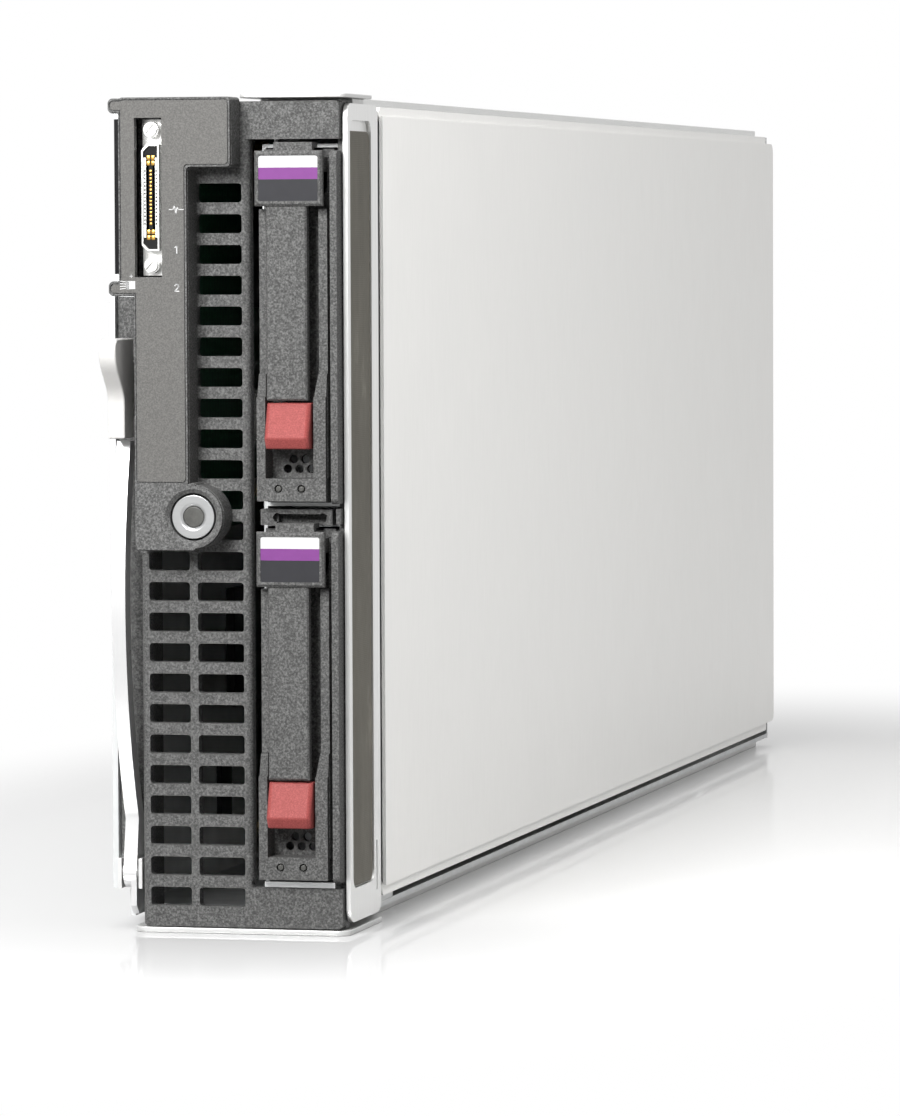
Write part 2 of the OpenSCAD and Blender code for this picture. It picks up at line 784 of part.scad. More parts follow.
// Board behind the control panel, with the header that ties it to the system board
module front_io_board() {
    x0 = io_x + io_shell_w / 2 + seat_gap;
    y0 = bezel_t + 1.2;
    depth = 52;
    plug_y = y0 + depth / 2;
    plug_d = 8;
    switch_h = 3;
    color("#2f6b46") from_bezel() {
        slab(x0, x0 + board_t, y0, y0 + depth, panel_z0 + 3, roof_low - 1.4);
        slab(board_x1, x0 + eps, plug_y, plug_y + plug_d, tongue_z0 + 6, tongue_z1 - 8);
        slab(x0 - 1.2, x0 + eps, y0, y0 + plug_d, io_z - io_shell_h / 4, io_z + io_shell_h / 4);
        slab(x0 + board_t - eps, x0 + board_t + switch_h, y0 + 2, y0 + 9, boss_z - switch_h, boss_z + switch_h);
    }
}

// ---- Drive cage ----

module cage_shelves() {
    slab(cage_x0, cage_x1, cage_y, cage_d, cage_z0, cage_z0 + cage_t);
    // Front lip below the lower carrier, with a hem turned down
    slab(carrier_x0, carrier_x1, 0.5, cage_y + eps, cage_z0, cage_z0 + cage_t - 0.15);
    slab(carrier_x0, carrier_x1, 0.5, 0.5 + cage_t, opening_z0 + 0.15, cage_z0 + eps);
    slab(cage_x0, cage_x1, cage_y, cage_d, cage_z1 - cage_t, cage_z1);
    lower = bay_z + carrier_h + cage_gap;
    upper = bay_z + bay_pitch - cage_t;
    slab(cage_x0, cage_x1, cage_y, cage_d, lower, lower + cage_t);
    slab(cage_x0, cage_x1, cage_y, cage_d, upper, upper + cage_t);
    slab(cage_x0, cage_x1, cage_y + 20, cage_y + 21, lower, upper + cage_t);
}

module cage_windows() {
    for (bay = [1, 2], k = [0 : 3])
        side_shape(cage_x0 - 1, cage_x0 + cage_t + 1)
            round_rect(cage_y + 12 + k * 25, cage_y + 32 + k * 25, drive_z(bay) + 12,
                drive_z(bay) + carrier_h - 12, 3);
    // Slots for the access panel's front tabs
    side_shape(cage_x1 - cage_t - 1, cage_x1 + 1) {
        round_rect(frame_y1 + 1.2, panel_y0 - 0.6, roof_low - 7, roof_low - 1.2, 0.6);
        round_rect(frame_y1 + 1.2, panel_y0 - 0.6, floor_top + 5, floor_top + 11, 0.6);
    }
}

module drive_cage() {
    color("#c2c4c5") from_bezel() difference() {
        union() {
            cage_shelves();
            slab(cage_x0, cage_x0 + cage_t, cage_y, cage_d, cage_z0, cage_z1);
            slab(cage_x1 - cage_t, cage_x1, cage_y, cage_d, cage_z0, cage_z1);
            slab(cage_x1 - cage_t, cage_x1, flange_y0, flange_y1, floor_top, roof_low);
            slab(cage_x0, cage_x0 + cage_t, cage_y + 10, cage_d - 20, cage_z1 - cage_t, roof_low);
            slab(cage_x0, cage_x0 + cage_t, cage_y + 10, cage_d - 20, floor_top, cage_z0 + cage_t);
        }
        cage_windows();
    }
}

// Moulding between the bays, notched for the lower carrier's claw
module bay_divider() {
    z0 = bay_z + carrier_h + 0.8;
    z1 = bay_z + bay_pitch - 1.3;
    color("#4a4b4c") from_bezel() difference() {
        slab(cage_x0 + 0.5, cage_x1 - 1.5, 1.2, cage_y - eps, z0, z1);
        slab(claw_x0 - 1, claw_x1 + 1, 0, 5, z0 - 1, z0 + 2.4);
        // Rounded notches beside the claw
        for (x = [claw_x0 - 0.8, claw_x1 + 0.8]) bar_y(1, x, z0 + 1.6, 0, 3);
    }
}

module drive_backplane() {
    color("#2f6b46") from_bezel() difference() {
        slab(cage_x0 + seat_gap, tray_right - seat_gap, backplane_y, backplane_y + board_t,
            board_z0, board_z1);
        vents = 4;
        vent_z0 = plug_z1 + 8;
        vent_pitch = (carrier_h - 4 - vent_z0) / (vents - 1);
        for (bay = [1, 2], k = [0 : vents - 1])
            bar_y(2.4, carrier_x0 + 8, drive_z(bay) + vent_z0 + k * vent_pitch, backplane_y - 1,
                backplane_y + board_t + 1);
    }
}

// Drive sockets on the backplane, and its header to the system board
module drive_sockets() {
    color("#262626") from_bezel() {
        for (bay = [1, 2]) difference() {
            slab(plug_x - 3.5, plug_x + 3.5, disk_y + disk_l + seat_gap, backplane_y, drive_z(bay) + plug_z0 - 2,
                drive_z(bay) + plug_z1 + 2);
            slab(plug_x - plug_t / 2 - seat_gap, plug_x + plug_t / 2 + seat_gap, disk_y + disk_l,
                disk_y + disk_l + plug_l + seat_gap, drive_z(bay) + plug_z0, drive_z(bay) + plug_z1);
        }
        slab(board_x1, cage_x0 + 6, backplane_y + board_t, board_y0 + 5, mid_z + 2, mid_z + 8);
    }
}

// ---- Carriers ----

claw_x0 = carrier_x0 + 3.9;
claw_x1 = claw_x0 + 8.6;
ejector_y = -1.4;
ejector_z = carrier_h - 3.4;
head_low = carrier_h - 12.3;
arm_low = 22.3;
head_x_lo = carrier_x0 - 0.1;
head_x_hi = head_x_lo + 15.1;
arm_x0 = carrier_x0 + 2.2;
arm_x1 = arm_x0 + 9.1;
recess_x0 = carrier_x0 + 1.6;
recess_x1 = recess_x0 + 10.7;
front_y = -1.6;
low_front_y = -3;
back_y = 3;
ledge_z = 5.5;
front_low = 0.6;
button_low = 11.9;
button_high = arm_low - 0.5;
flare_h = 5;
lamp_x = [recess_x0 + 2.85, recess_x0 + 7.95];
lamp_z = 3.3;
pivot_x0 = carrier_x0 + 0.3;
pivot_x1 = head_x_hi - 0.3;
pivot_ear_t = 1.2;
pivot_ear_r = 1.6;
cheek_t = 1.5;
outer_x0 = carrier_x1 + 0.3;
outer_x1 = bezel_x1;

// Front moulding of a carrier: rails, button housing, outer rail and the vented wall behind the lever
module carrier_front() {
    vent_r = 0.95;
    vent_x = recess_x0 + 3.4;
    vent_z = 7.4;
    vent_pitch = 2.6;
    rail_l = 1.6;
    inner_x0 = carrier_x1 - 2.4;
    upper_x0 = carrier_x0 + 0.1;
    lower_x0 = carrier_x0 - 0.3;
    upper_x1 = carrier_x1 - 0.5;
    lower_x1 = carrier_x1 - 0.7;
    top_z = head_low - 0.6;
    slab(upper_x0, recess_x0, front_y, back_y + eps, ledge_z, top_z);
    slab(inner_x0, upper_x1, front_y, back_y + eps, ledge_z, top_z);
    // Button housing, whose cheeks taper into the rails above it
    side_cheek(lower_x0, recess_x0, upper_x0, recess_x0);
    side_cheek(recess_x1, lower_x1, inner_x0, upper_x1);
    slab(lower_x0, lower_x1, low_front_y, back_y + eps, front_low, ledge_z);
    difference() {
        slab(carrier_x0, carrier_x1, back_y, back_y + rail_l, rail_seat, carrier_h);
        slab(claw_x0 - 0.6, claw_x1 + 0.6, back_y - 1, back_y + rail_l + 1, head_low + 1, carrier_h + 1);
        for (i = [0, 1]) bar_y(vent_r, vent_x + (i + 0.5) * vent_pitch, vent_z + 2.1, back_y - 1, back_y + rail_l + 1);
        for (i = [0 : 2]) bar_y(vent_r, vent_x + i * vent_pitch, vent_z, back_y - 1, back_y + rail_l + 1);
    }
}

// Cheek of the button housing between x0 and x1, which narrows to u0 and u1 over its taper
module side_cheek(x0, x1, u0, u1) {
    taper_z = button_high + 1.2;
    slab(x0, x1, low_front_y, back_y + eps, front_low, taper_z);
    front_shape(front_y - 0.7, back_y)
        polygon([[x0, taper_z - eps], [x1, taper_z - eps], [u1, taper_z + flare_h], [u0, taper_z + flare_h]]);
}

// Rail at the carrier's right, with round ends
module carrier_outer_rail() {
    difference() {
        side_shape(outer_x0, outer_x1) round_rect(front_y - 0.8, bezel_t - 0.4, 0, carrier_h - 0.4, 1.4);
        slab(outer_x0 - 1, outer_x1 + 1, -0.4, bezel_t, -1, -0.5);
    }
    slab(carrier_x1 - 1, outer_x0 + eps, 0.6, bezel_t - 0.5, 2, carrier_h - 2);
}

// Two runners, and the ears that carry the ejector's pin
module carrier_runners() {
    for (z = [rail_seat, carrier_h - rail_seat - rail_t]) difference() {
        slab(carrier_x0, carrier_x1, back_y + 1, carrier_l, z, z + rail_t);
        for (k = [0 : 2])
            slab(carrier_x0 + 3, carrier_x1 - 3, 24 + k * 30, 44 + k * 30, z - 1, z + rail_t + 1);
        // Room for the ejector's claw as it swings in
        slab(claw_x0 - 0.6, claw_x1 + 0.6, back_y, back_y + 6, carrier_h / 2, carrier_h);
    }
    for (x = [carrier_x0, carrier_x1 - 1.2])
        slab(x, x + 1.2, back_y + 1, disk_y - seat_gap, rail_seat, carrier_h - rail_seat);
    for (x = [pivot_x0, pivot_x1 - pivot_ear_t]) {
        slab(x, x + pivot_ear_t, ejector_y, back_y + 1, ejector_z - pivot_ear_r, ejector_z + pivot_ear_r);
        bar_x(pivot_ear_r, ejector_y, ejector_z, x, x + pivot_ear_t);
    }
    bar_x(ejector_pin_r, ejector_y, ejector_z, pivot_x0, pivot_x1);
}

module carrier(number) {
    color("#4d4e4f") from_bezel() translate([0, 0, drive_z(number)]) difference() {
        union() {
            carrier_front();
            carrier_outer_rail();
            carrier_runners();
        }
        // Sockets for the two status lamps
        for (x = lamp_x) bar_y(0.9, x, lamp_z, low_front_y - 1, low_front_y + 1.2);
    }
}

// Disk with its plug at the rear and the round motor cover on its side
module disk(number) {
    x0 = carrier_x0 + (carrier_w - disk_t) / 2;
    y1 = disk_y + disk_l;
    color("#b4b6b8") from_bezel() translate([0, 0, drive_z(number)]) {
        difference() {
            slab(x0, x0 + disk_t, disk_y, y1, disk_z, disk_z + disk_h);
            bar_x(24, y1 - 38, disk_z + disk_h / 2, x0 + disk_t - 0.5, x0 + disk_t + 1);
        }
        slab(plug_x - plug_t / 2, plug_x + plug_t / 2, y1 - eps, y1 + plug_l, plug_z0 + 1, plug_z1 - 1);
    }
}

// Ejector lever: label head, arm, claw and pivot cheeks in one moulding
module ejector_solid() {
    head_z1 = carrier_h - 0.4;
    soft_slab(head_x_lo, head_x_hi, -5, -3.5, head_low, head_z1, 0.5);
    soft_slab(arm_x0, arm_x1, -4.2, -1.9, arm_low, head_low + 2);
    claw_z1 = head_z1 + 1.8;
    slab(claw_x0, claw_x1, -3.7, -1.7, head_z1 - 1.2, claw_z1);
    slab(claw_x0, claw_x1, -3.7, 1, claw_z1 - 1.1, claw_z1);
    for (x = [pivot_x0 + pivot_ear_t + slide_gap, pivot_x1 - pivot_ear_t - slide_gap - cheek_t])
        slab(x, x + cheek_t, -4.5, ejector_y + 1.5, head_low + 1, head_z1 - 0.3);
}

module ejector(number) {
    color("#555657") from_bezel() translate([0, 0, drive_z(number)]) difference() {
        ejector_solid();
        bar_x(ejector_pin_r + pin_gap, ejector_y, ejector_z, head_x_lo - 1, head_x_hi + 1);
        // Shallow seat for the label
        slab(head_x_lo + 1, head_x_hi - 1, -6, -4.8, head_low + 1.1, carrier_h - 1.5);
    }
}

// Button with a sloping face, bevelled below and at its sides
module eject_button(number) {
    z0 = button_low;
    z1 = button_high;
    x0 = recess_x0 + slide_gap;
    x1 = recess_x1 - slide_gap;
    c = 0.7;
    face = [[0.6, z1], [-3.5, z1], [-6.1, z0 + 2.3], [-4.9, z0], [0.6, z0]];
    shy = [[0.6, z1], [-3.5 + c, z1], [-6.1 + c, z0 + 2.3], [-4.9 + c, z0], [0.6, z0]];
    color("#a85454") from_bezel() translate([0, 0, drive_z(number)]) hull() {
        side_shape(x0 + c, x1 - c) polygon(face);
        side_shape(x0, x1) polygon(shy);
    }
}

module drive_1_carrier() { carrier(1); }
module drive_2_carrier() { carrier(2); }
module drive_1_disk() { disk(1); }
module drive_2_disk() { disk(2); }
module drive_1_lever() { ejector(1); }
module drive_2_lever() { ejector(2); }
module drive_1_button() { eject_button(1); }
module drive_2_button() { eject_button(2); }

// ---- Electronics ----

module system_board() {
    color("#2c6a44") from_bezel() {
        slab(board_x0, board_x1, board_y0, board_y1, board_z0, board_z1);
        slab(board_x0, board_x1, tongue_y0, board_y0 + eps, tongue_z0, tongue_z1);
    }
}

module board_standoffs() {
    color("#c8b36a") from_bezel()
        for (y = [board_y0 + 5, (board_y0 + board_y1) / 2, board_y1 - 8], z = [board_z0 + 5, mid_z, board_z1 - 5])
            bar_x(standoff_r, y, z, wall_in, board_x0);
}

// Middle of each processor along the blade
function cpu_y(which) = (which == 0 ? sink_1_y : sink_2_y) + sink_l / 2;

module cpu_sockets() {
    color("#d9d4c4") from_bezel() for (which = [0, 1]) {
        y = cpu_y(which);
        slab(board_x1, board_x1 + socket_h, y - cpu_size / 2 - 3, y + cpu_size / 2 + 3,
            mid_z - cpu_size / 2 - 3, mid_z + cpu_size / 2 + 3);
    }
}

module processors() {
    color("#b9bcbe") from_bezel() for (which = [0, 1]) {
        y = cpu_y(which);
        x0 = board_x1 + socket_h;
        slab(x0, x0 + 1, y - cpu_size / 2, y + cpu_size / 2, mid_z - cpu_size / 2, mid_z + cpu_size / 2);
        slab(x0 + 1 - eps, x0 + package_h, y - cpu_size / 2 + 3, y + cpu_size / 2 - 3,
            mid_z - cpu_size / 2 + 3, mid_z + cpu_size / 2 - 3);
    }
}

// Base plate with upright fins along the air flow
module heatsink(y0) {
    fins = floor((sink_w - fin_t) / fin_pitch);
    z0 = mid_z - fins * fin_pitch / 2;
    corner = 9;
    color("#aeb1b3") from_bezel() difference() {
        union() {
            slab(sink_x0, sink_x0 + sink_base_t, y0, y0 + sink_l, mid_z - sink_w / 2, mid_z + sink_w / 2);
            for (i = [0 : fins])
                slab(sink_x0 + sink_base_t - eps, sink_x0 + sink_base_t + sink_h, y0 + 1, y0 + sink_l - 1,
                    z0 + i * fin_pitch - fin_t / 2, z0 + i * fin_pitch + fin_t / 2);
        }
        // Clearance round the four mounting screws
        for (y = [y0 - 1, y0 + sink_l - corner + 1], z = [mid_z - sink_w / 2 - 2, mid_z + sink_w / 2 - corner + 2])
            slab(sink_x0 + sink_base_t, sink_x0 + sink_base_t + sink_h + 1, y, y + corner, z, z + corner);
    }
}

module heatsink_front() { heatsink(sink_1_y); }
module heatsink_rear() { heatsink(sink_2_y); }

module heatsink_screws() {
    in = 4;
    color("#8d8f91") from_bezel()
        for (y0 = [sink_1_y, sink_2_y], y = [y0 + in, y0 + sink_l - in], z = [mid_z - sink_w / 2 + in - 0.5,
                mid_z + sink_w / 2 - in + 0.5]) {
            bar_x(2.6, y, z, sink_x0 + sink_base_t, sink_x0 + sink_base_t + 9);
            bar_x(1.4, y, z, sink_x0 + sink_base_t + 9 - eps, sink_x0 + sink_base_t + 12);
        }
}

// Centre height of a memory module; bank +1 lies above the processors and -1 below
function module_z(bank, i) = mid_z + bank * (bank_inner + i * module_pitch);

module memory_sockets() {
    y1 = bank_y + module_l;
    color("#23262b") from_bezel() for (bank = [-1, 1], i = [0 : module_count - 1]) {
        z = module_z(bank, i);
        difference() {
            slab(board_x1, board_x1 + slot_h_x, bank_y - tower_l, y1 + tower_l, z - slot_z / 2, z + slot_z / 2);
            slab(board_x1 + 2, board_x1 + slot_h_x + 1, bank_y - 0.5, y1 + 0.5, z - module_t / 2 - 0.1,
                z + module_t / 2 + 0.1);
            // Forks that hold the latches
            for (y = [bank_y - tower_l - 1, y1 + 1.2])
                slab(board_x1 + 0.6, board_x1 + slot_h_x + 1, y, y + tower_l - 0.2,
                    z - latch_t / 2 - slide_gap, z + latch_t / 2 + slide_gap);
        }
        for (y = [bank_y - latch_y_gap - latch_l / 2 - 0.7, y1 + latch_y_gap + latch_l / 2 + 0.7])
            bar_z(latch_pin_r, latch_pin_x, y, z - slot_z / 2 + eps, z + slot_z / 2 - eps);
    }
}

// Memory boards with a heat spreader on each side
module memory_modules() {
    x0 = board_x1 + 2.2;
    color("#3b7f52") from_bezel() for (bank = [-1, 1], i = [0 : module_count - 1]) {
        z = module_z(bank, i);
        slab(x0, x0 + module_h, bank_y, bank_y + module_l, z - module_t / 2, z + module_t / 2);
        slab(x0 + 5.5, x0 + module_h - 1.5, bank_y + 4, bank_y + module_l - 4,
            z - module_t / 2 - spreader_t, z + module_t / 2 + spreader_t);
    }
}

// A row of latches at one end of a bank; end is -1 at the front and +1 at the rear
module latch_row(bank, end) {
    seat = end < 0 ? bank_y : bank_y + module_l;
    y = seat + end * (latch_y_gap + latch_l / 2 + 0.7);
    y0 = seat + end * (latch_y_gap + 0.9);
    y1 = y0 + end * (latch_l - 0.4);
    color("#e4e2da") from_bezel() for (i = [0 : module_count - 1]) {
        z = module_z(bank, i);
        difference() {
            union() {
                slab(board_x1 + 1.4, latch_top_x, min(y0, y1), max(y0, y1), z - latch_t / 2, z + latch_t / 2);
                slab(latch_top_x - 2, latch_top_x, min(y1 - eps * end, y1 + 2 * end),
                    max(y1 - eps * end, y1 + 2 * end), z - latch_t / 2, z + latch_t / 2);
            }
            bar_z(latch_pin_r + pin_gap, latch_pin_x, y, z - slot_z, z + slot_z);
        }
    }
}

module latches_upper_front() { latch_row(1, -1); }
module latches_upper_rear() { latch_row(1, 1); }
module latches_lower_front() { latch_row(-1, -1); }
module latches_lower_rear() { latch_row(-1, 1); }

// Lower side of the upper (+1) or lower (-1) mezzanine card
function mezz_z(side) = side > 0 ? mid_z + mezz_gap : mid_z - mezz_gap - mezz_w;

module mezzanine_cards() {
    color("#2f5f7d") from_bezel() for (side = [-1, 1]) {
        z0 = mezz_z(side);
        slab(mezz_x, mezz_x + board_t, mezz_y, mezz_y + mezz_l, z0, z0 + mezz_w);
        for (y = [mezz_y + 6, mezz_y + mezz_l - 6], z = [z0 + 6, z0 + mezz_w - 6])
            bar_x(standoff_r, y, z, board_x1, mezz_x);
    }
}

module mezzanine_connectors() {
    plug_y = mezz_y + 16;
    plug_d = 12;
    plug_margin = 14;
    color("#1f1f22") from_bezel() for (side = [-1, 1])
        slab(board_x1, mezz_x, plug_y, plug_y + plug_d, mezz_z(side) + plug_margin,
            mezz_z(side) + mezz_w - plug_margin);
}

module mezzanine_sinks() {
    x0 = mezz_x + board_t;
    base_t = 2;
    sink_h = 9;
    small_fin_t = 1;
    small_fin_pitch = 4;
    small_fins = 9;
    size = small_fins * small_fin_pitch - 2;
    color("#9da0a2") from_bezel() for (side = [-1, 1]) {
        y0 = mezz_y + mezz_l / 2;
        z0 = mezz_z(side) + mezz_w / 2 - size / 2;
        fin_z = z0 + (size - (small_fins - 1) * small_fin_pitch) / 2 - small_fin_t / 2 + 0.1;
        slab(x0, x0 + base_t, y0, y0 + size, z0, z0 + size);
        for (i = [0 : small_fins - 1])
            slab(x0 + base_t - eps, x0 + sink_h, y0, y0 + size, fin_z + i * small_fin_pitch,
                fin_z + i * small_fin_pitch + small_fin_t);
    }
}

module storage_cache_card() {
    y0 = baffle_y + 6;
    socket_h = 6;
    card_h = 28;
    card_t = 1.3;
    reach = 34;
    color("#30714c") from_bezel() {
        slab(board_x1, board_x1 + socket_h, y0, y0 + socket_h, mid_z - reach, mid_z + reach);
        slab(board_x1 + socket_h - eps, board_x1 + card_h, y0 + (socket_h - card_t) / 2,
            y0 + (socket_h + card_t) / 2, mid_z - reach + 1, mid_z + reach - 1);
    }
}

battery_y = connector_y - 22;
battery_z = floor_top + 20;
battery_r = 10;
battery_t = 3.2;
holder_floor = 1;

module battery_holder() {
    color("#242424") from_bezel() difference() {
        bar_x(battery_r + 1.4, battery_y, battery_z, board_x1, board_x1 + holder_floor + battery_t + 0.8);
        bar_x(battery_r + seat_gap, battery_y, battery_z, board_x1 + holder_floor, board_x1 + 2 * battery_t);
    }
}

module coin_battery() {
    color("#cfd1d2") from_bezel() bar_x(battery_r, battery_y, battery_z, board_x1 + holder_floor + eps,
        board_x1 + holder_floor + battery_t);
}

module power_inductors() {
    coil_w = 9;
    coil_h = 7;
    coil_pitch = coil_w + 2;
    coils = 4;
    y0 = battery_y - 6;
    color("#56585b") from_bezel() for (i = [0 : coils - 1], bank_z = [mid_z - 46, mid_z + 16]) {
        z0 = bank_z + i * coil_pitch;
        slab(board_x1, board_x1 + coil_h, y0, y0 + coil_w, z0, z0 + coil_w);
    }
}

module usb_socket() {
    usb_h = 6.5;
    usb_w = 13;
    usb_l = 14;
    usb_wall = 0.8;
    y0 = tongue_y0 + 70;
    z0 = tongue_z0 + 8;
    color("#c5c7c8") from_bezel() difference() {
        slab(board_x1, board_x1 + usb_h, y0, y0 + usb_l, z0, z0 + usb_w);
        slab(board_x1 + usb_wall, board_x1 + usb_h - usb_wall, y0 - 1, y0 + usb_l - 2, z0 + 1, z0 + usb_w - 1);
    }
}

// Wall that sends the air through the heatsinks
module air_baffle() {
    color("#2b2c2d") from_bezel() difference() {
        window_h = 18;
        window_pitch = 24;
        windows = 6;
        window_z = mid_z - (windows * window_pitch - (window_pitch - window_h)) / 2;
        slab(board_x1, tray_right - 4, baffle_y, baffle_y + baffle_t, board_z0, board_z1);
        for (k = [0 : windows - 1])
            slab(board_x1 + 6, tray_right - 9, baffle_y - 1, baffle_y + baffle_t + 1, window_z + k * window_pitch,
                window_z + k * window_pitch + window_h);
    }
}

// ---- Rear connectors ----

module signal_connector() {
    columns = 10;
    pitch = 4;
    wafer_gap = 2;
    wall = 3;
    body_h = 22;
    mating_d = 9;
    edge = (signal_z1 - signal_z0 - (columns - 1) * pitch - wafer_gap) / 2;
    color("#26282a") from_bezel() difference() {
        slab(board_x1, board_x1 + body_h, connector_y, blade_d - 0.4, signal_z0, signal_z1);
        for (k = [0 : columns - 1])
            slab(board_x1 + wall, board_x1 + body_h - wall, blade_d - mating_d, blade_d,
                signal_z0 + edge + k * pitch, signal_z0 + edge + k * pitch + wafer_gap);
    }
}

module power_connector() {
    blades = 4;
    pitch = 5;
    slot_w = 2.6;
    wall = 3;
    body_h = 18;
    mating_d = 10;
    edge = (power_z1 - power_z0 - (blades - 1) * pitch - slot_w) / 2;
    color("#2d2f31") from_bezel() difference() {
        slab(board_x1, board_x1 + body_h, connector_y + 4, blade_d - 0.4, power_z0, power_z1);
        for (k = [0 : blades - 1])
            slab(board_x1 + wall, board_x1 + body_h - wall, blade_d - mating_d, blade_d,
                power_z0 + edge + k * pitch, power_z0 + edge + k * pitch + slot_w);
    }
}

module guide_sockets() {
    color("#b7babc") from_bezel() for (z = guide_z) difference() {
        slab(board_x1, guide_x + guide_block, blade_d - sheet_t - 26, blade_d - sheet_t, z - guide_block,
            z + guide_block);
        bar_y(guide_bore_r, guide_x, z, blade_d - sheet_t - guide_bore_l, blade_d);
    }
}

// ---- Moving front pieces ----

// Pivot pin in two ears that stand on the channel's floor
module lever_pin() {
    color("#c9cac9") from_bezel() {
        bar_x(lever_pin_r, lever_pivot_y, lever_pivot_z, lever_x0 - slide_gap - ear_t, lever_x1 + slide_gap + ear_t);
        for (x = [lever_x0 - slide_gap - ear_t, lever_x1 + slide_gap])
            slab(x, x + ear_t, lever_pivot_y - 3, channel_d, lever_pivot_z - pin_ear_h, lever_pivot_z + pin_ear_h);
    }
}

// Bowed lever: an arc, a straight shank, the pivot boss and the claw
module release_lever() {
    color("#e3e4e4") from_bezel() difference() {
        union() {
            intersection() {
                side_shape(lever_x0, lever_x1) difference() {
                    translate([bow_y, bow_z]) circle(r = lever_bow_r, $fn = 360);
                    translate([bow_y, bow_z]) circle(r = lever_bow_r - lever_d, $fn = 360);
                }
                slab(lever_x0, lever_x1, -20, channel_d, bow_z0, lever_tip_z);
            }
            side_shape(lever_x0, lever_x1) polygon([
                [bow_end_y(0) + 0.1, bow_z0 + 1], [bow_end_y(lever_d) - 0.1, bow_z0 + 1],
                [lever_pivot_y + lever_boss_r - 0.2, lever_pivot_z],
                [lever_pivot_y - lever_boss_r + 0.2, lever_pivot_z]]);
            bar_x(lever_boss_r, lever_pivot_y, lever_pivot_z, lever_x0, lever_x1);
            side_shape(lever_x1 - claw_t, lever_x1) polygon([[claw_y0, lever_pivot_z], [claw_y1, lever_pivot_z],
                [claw_y1, claw_z0 + 1], [claw_y0 + 2, claw_z0], [claw_y0, claw_z0 + 2]]);
        }
        bar_x(lever_pin_r + pin_gap, lever_pivot_y, lever_pivot_z, lever_x0 - 1, lever_x1 + 1);
    }
}

// Where the bow's surface, set in by d, crosses the foot of the arc
function bow_end_y(d) = bow_y - sqrt(pow(lever_bow_r - d, 2) - pow(bow_z - bow_z0, 2));

// Smooth step from the low half to the high half of the release button
function catch_y(t) = -catch_low - (catch_proud - catch_low) * (1 - cos(180 * min(1, max(0, (t - 0.35) / 0.5)))) / 2;

module release_button() {
    steps = 24;
    r = 1.6;
    front = [for (i = [0 : steps]) let (t = i / steps)
        [catch_y(t) + (t > 0.93 ? r * pow((t - 0.93) / 0.07, 2) : 0), catch_z0 + catch_h * t]];
    color("#dcdcda") from_bezel() {
        side_shape(lever_x0 - 0.2, catch_x1)
            polygon(concat([[catch_y1, catch_z0]], front, [[catch_y1, catch_z0 + catch_h]]));
        slab(catch_stem_x0, catch_stem_x1, catch_y1 - eps, channel_d + 2, catch_z0 + catch_stem_in,
            catch_z0 + catch_h - catch_stem_in);
    }
}

module power_button() {
    face_y = panel_front + 0.5;
    color("#bfc0c0") from_bezel() difference() {
        union() {
            bar_y(power_r, boss_x, boss_z, face_y, bezel_t + 0.5);
            bar_y(power_r - 2, boss_x, boss_z, bezel_t, bezel_t + 1.2);
        }
        translate([boss_x, face_y + 0.5, boss_z]) rotate([90, 0, 0]) cylinder(h = 1, r1 = lamp_r, r2 = lamp_r + 1.6);
        bar_y(lamp_r, boss_x, boss_z, face_y - 1, face_y + 3);
    }
}

module power_lamp() {
    face_y = panel_front + 0.5;
    color("#7d7d78") from_bezel() bar_y(lamp_r - eps, boss_x, boss_z, face_y + 0.4, face_y + 3);
}

module label_tab() {
    color("#1b1c1d") from_bezel() {
        slab(tab_x0, tab_x0 + tab_t, tab_front, tab_front + tab_l, tab_z1 - tab_h, tab_z1);
        slab(tab_x0 - 0.2, tab_x0 + tab_t + 0.2, tab_front, tab_front + 1.5, tab_z1 - tab_h, tab_z1);
    }
}

// Sleeve on the left wall that the pull tab runs in
module tab_sleeve() {
    x0 = tab_x0 - seat_gap - sleeve_wall;
    x1 = tab_x0 + tab_t + seat_gap + sleeve_wall;
    y0 = upper_setback + 1;
    y1 = y0 + tab_l - 8;
    z0 = tab_z1 - tab_h - seat_gap - sleeve_wall;
    z1 = tab_z1 + seat_gap + sleeve_wall;
    color("#303234") from_bezel() {
        difference() {
            slab(x0, x1, y0, y1, z0, z1);
            slab(x0 + sleeve_wall, x1 - sleeve_wall, y0 - 1, y1 + 1, z0 + sleeve_wall, z1 - sleeve_wall);
        }
        for (y = [y0 + 4, y1 - 8]) slab(wall_in, x0 + eps, y, y + 4, z0 + 4, z1 - 4);
    }
}

// ---- Access panel ----

module access_panel() {
    color("#cdcfd0") from_bezel() {
        side_shape(panel_face_x, right_x) union() {
            round_rect(panel_y0, blade_d, face_z0, face_z1, panel_r);
            plain_rect(panel_y0, panel_y0 + 2 * panel_r, face_z0, face_z1);
        }
        for (z0 = [band_z0, face_z1 - band_lap])
            side_shape(band_x, panel_face_x + eps)
                round_rect(panel_y0, band_y1, z0, z0 + band_h + band_lap, 1);
    }
}

chassis_tray();
front_bezel();
control_panel();
panel_overlay();
top_lid();
base_lip();
side_frame();
emi_gasket();
guide_rails();
io_shell();
io_insert();
jack_sockets();
front_io_board();
drive_cage();
bay_divider();
drive_backplane();
drive_sockets();
system_board();
board_standoffs();
cpu_sockets();
processors();
heatsink_front();
heatsink_rear();
heatsink_screws();
memory_sockets();
memory_modules();
latches_upper_front();
latches_upper_rear();
latches_lower_front();
latches_lower_rear();
mezzanine_cards();
mezzanine_connectors();
mezzanine_sinks();
storage_cache_card();
battery_holder();
coin_battery();
power_inductors();
usb_socket();
air_baffle();
signal_connector();
power_connector();
guide_sockets();
lever_pin();
tab_sleeve();
access_panel();
drive_1_carrier();
drive_1_disk();
drive_1_lever();
drive_1_button();
drive_2_carrier();
drive_2_disk();
drive_2_lever();
drive_2_button();
release_lever();
release_button();
power_button();
power_lamp();
label_tab();
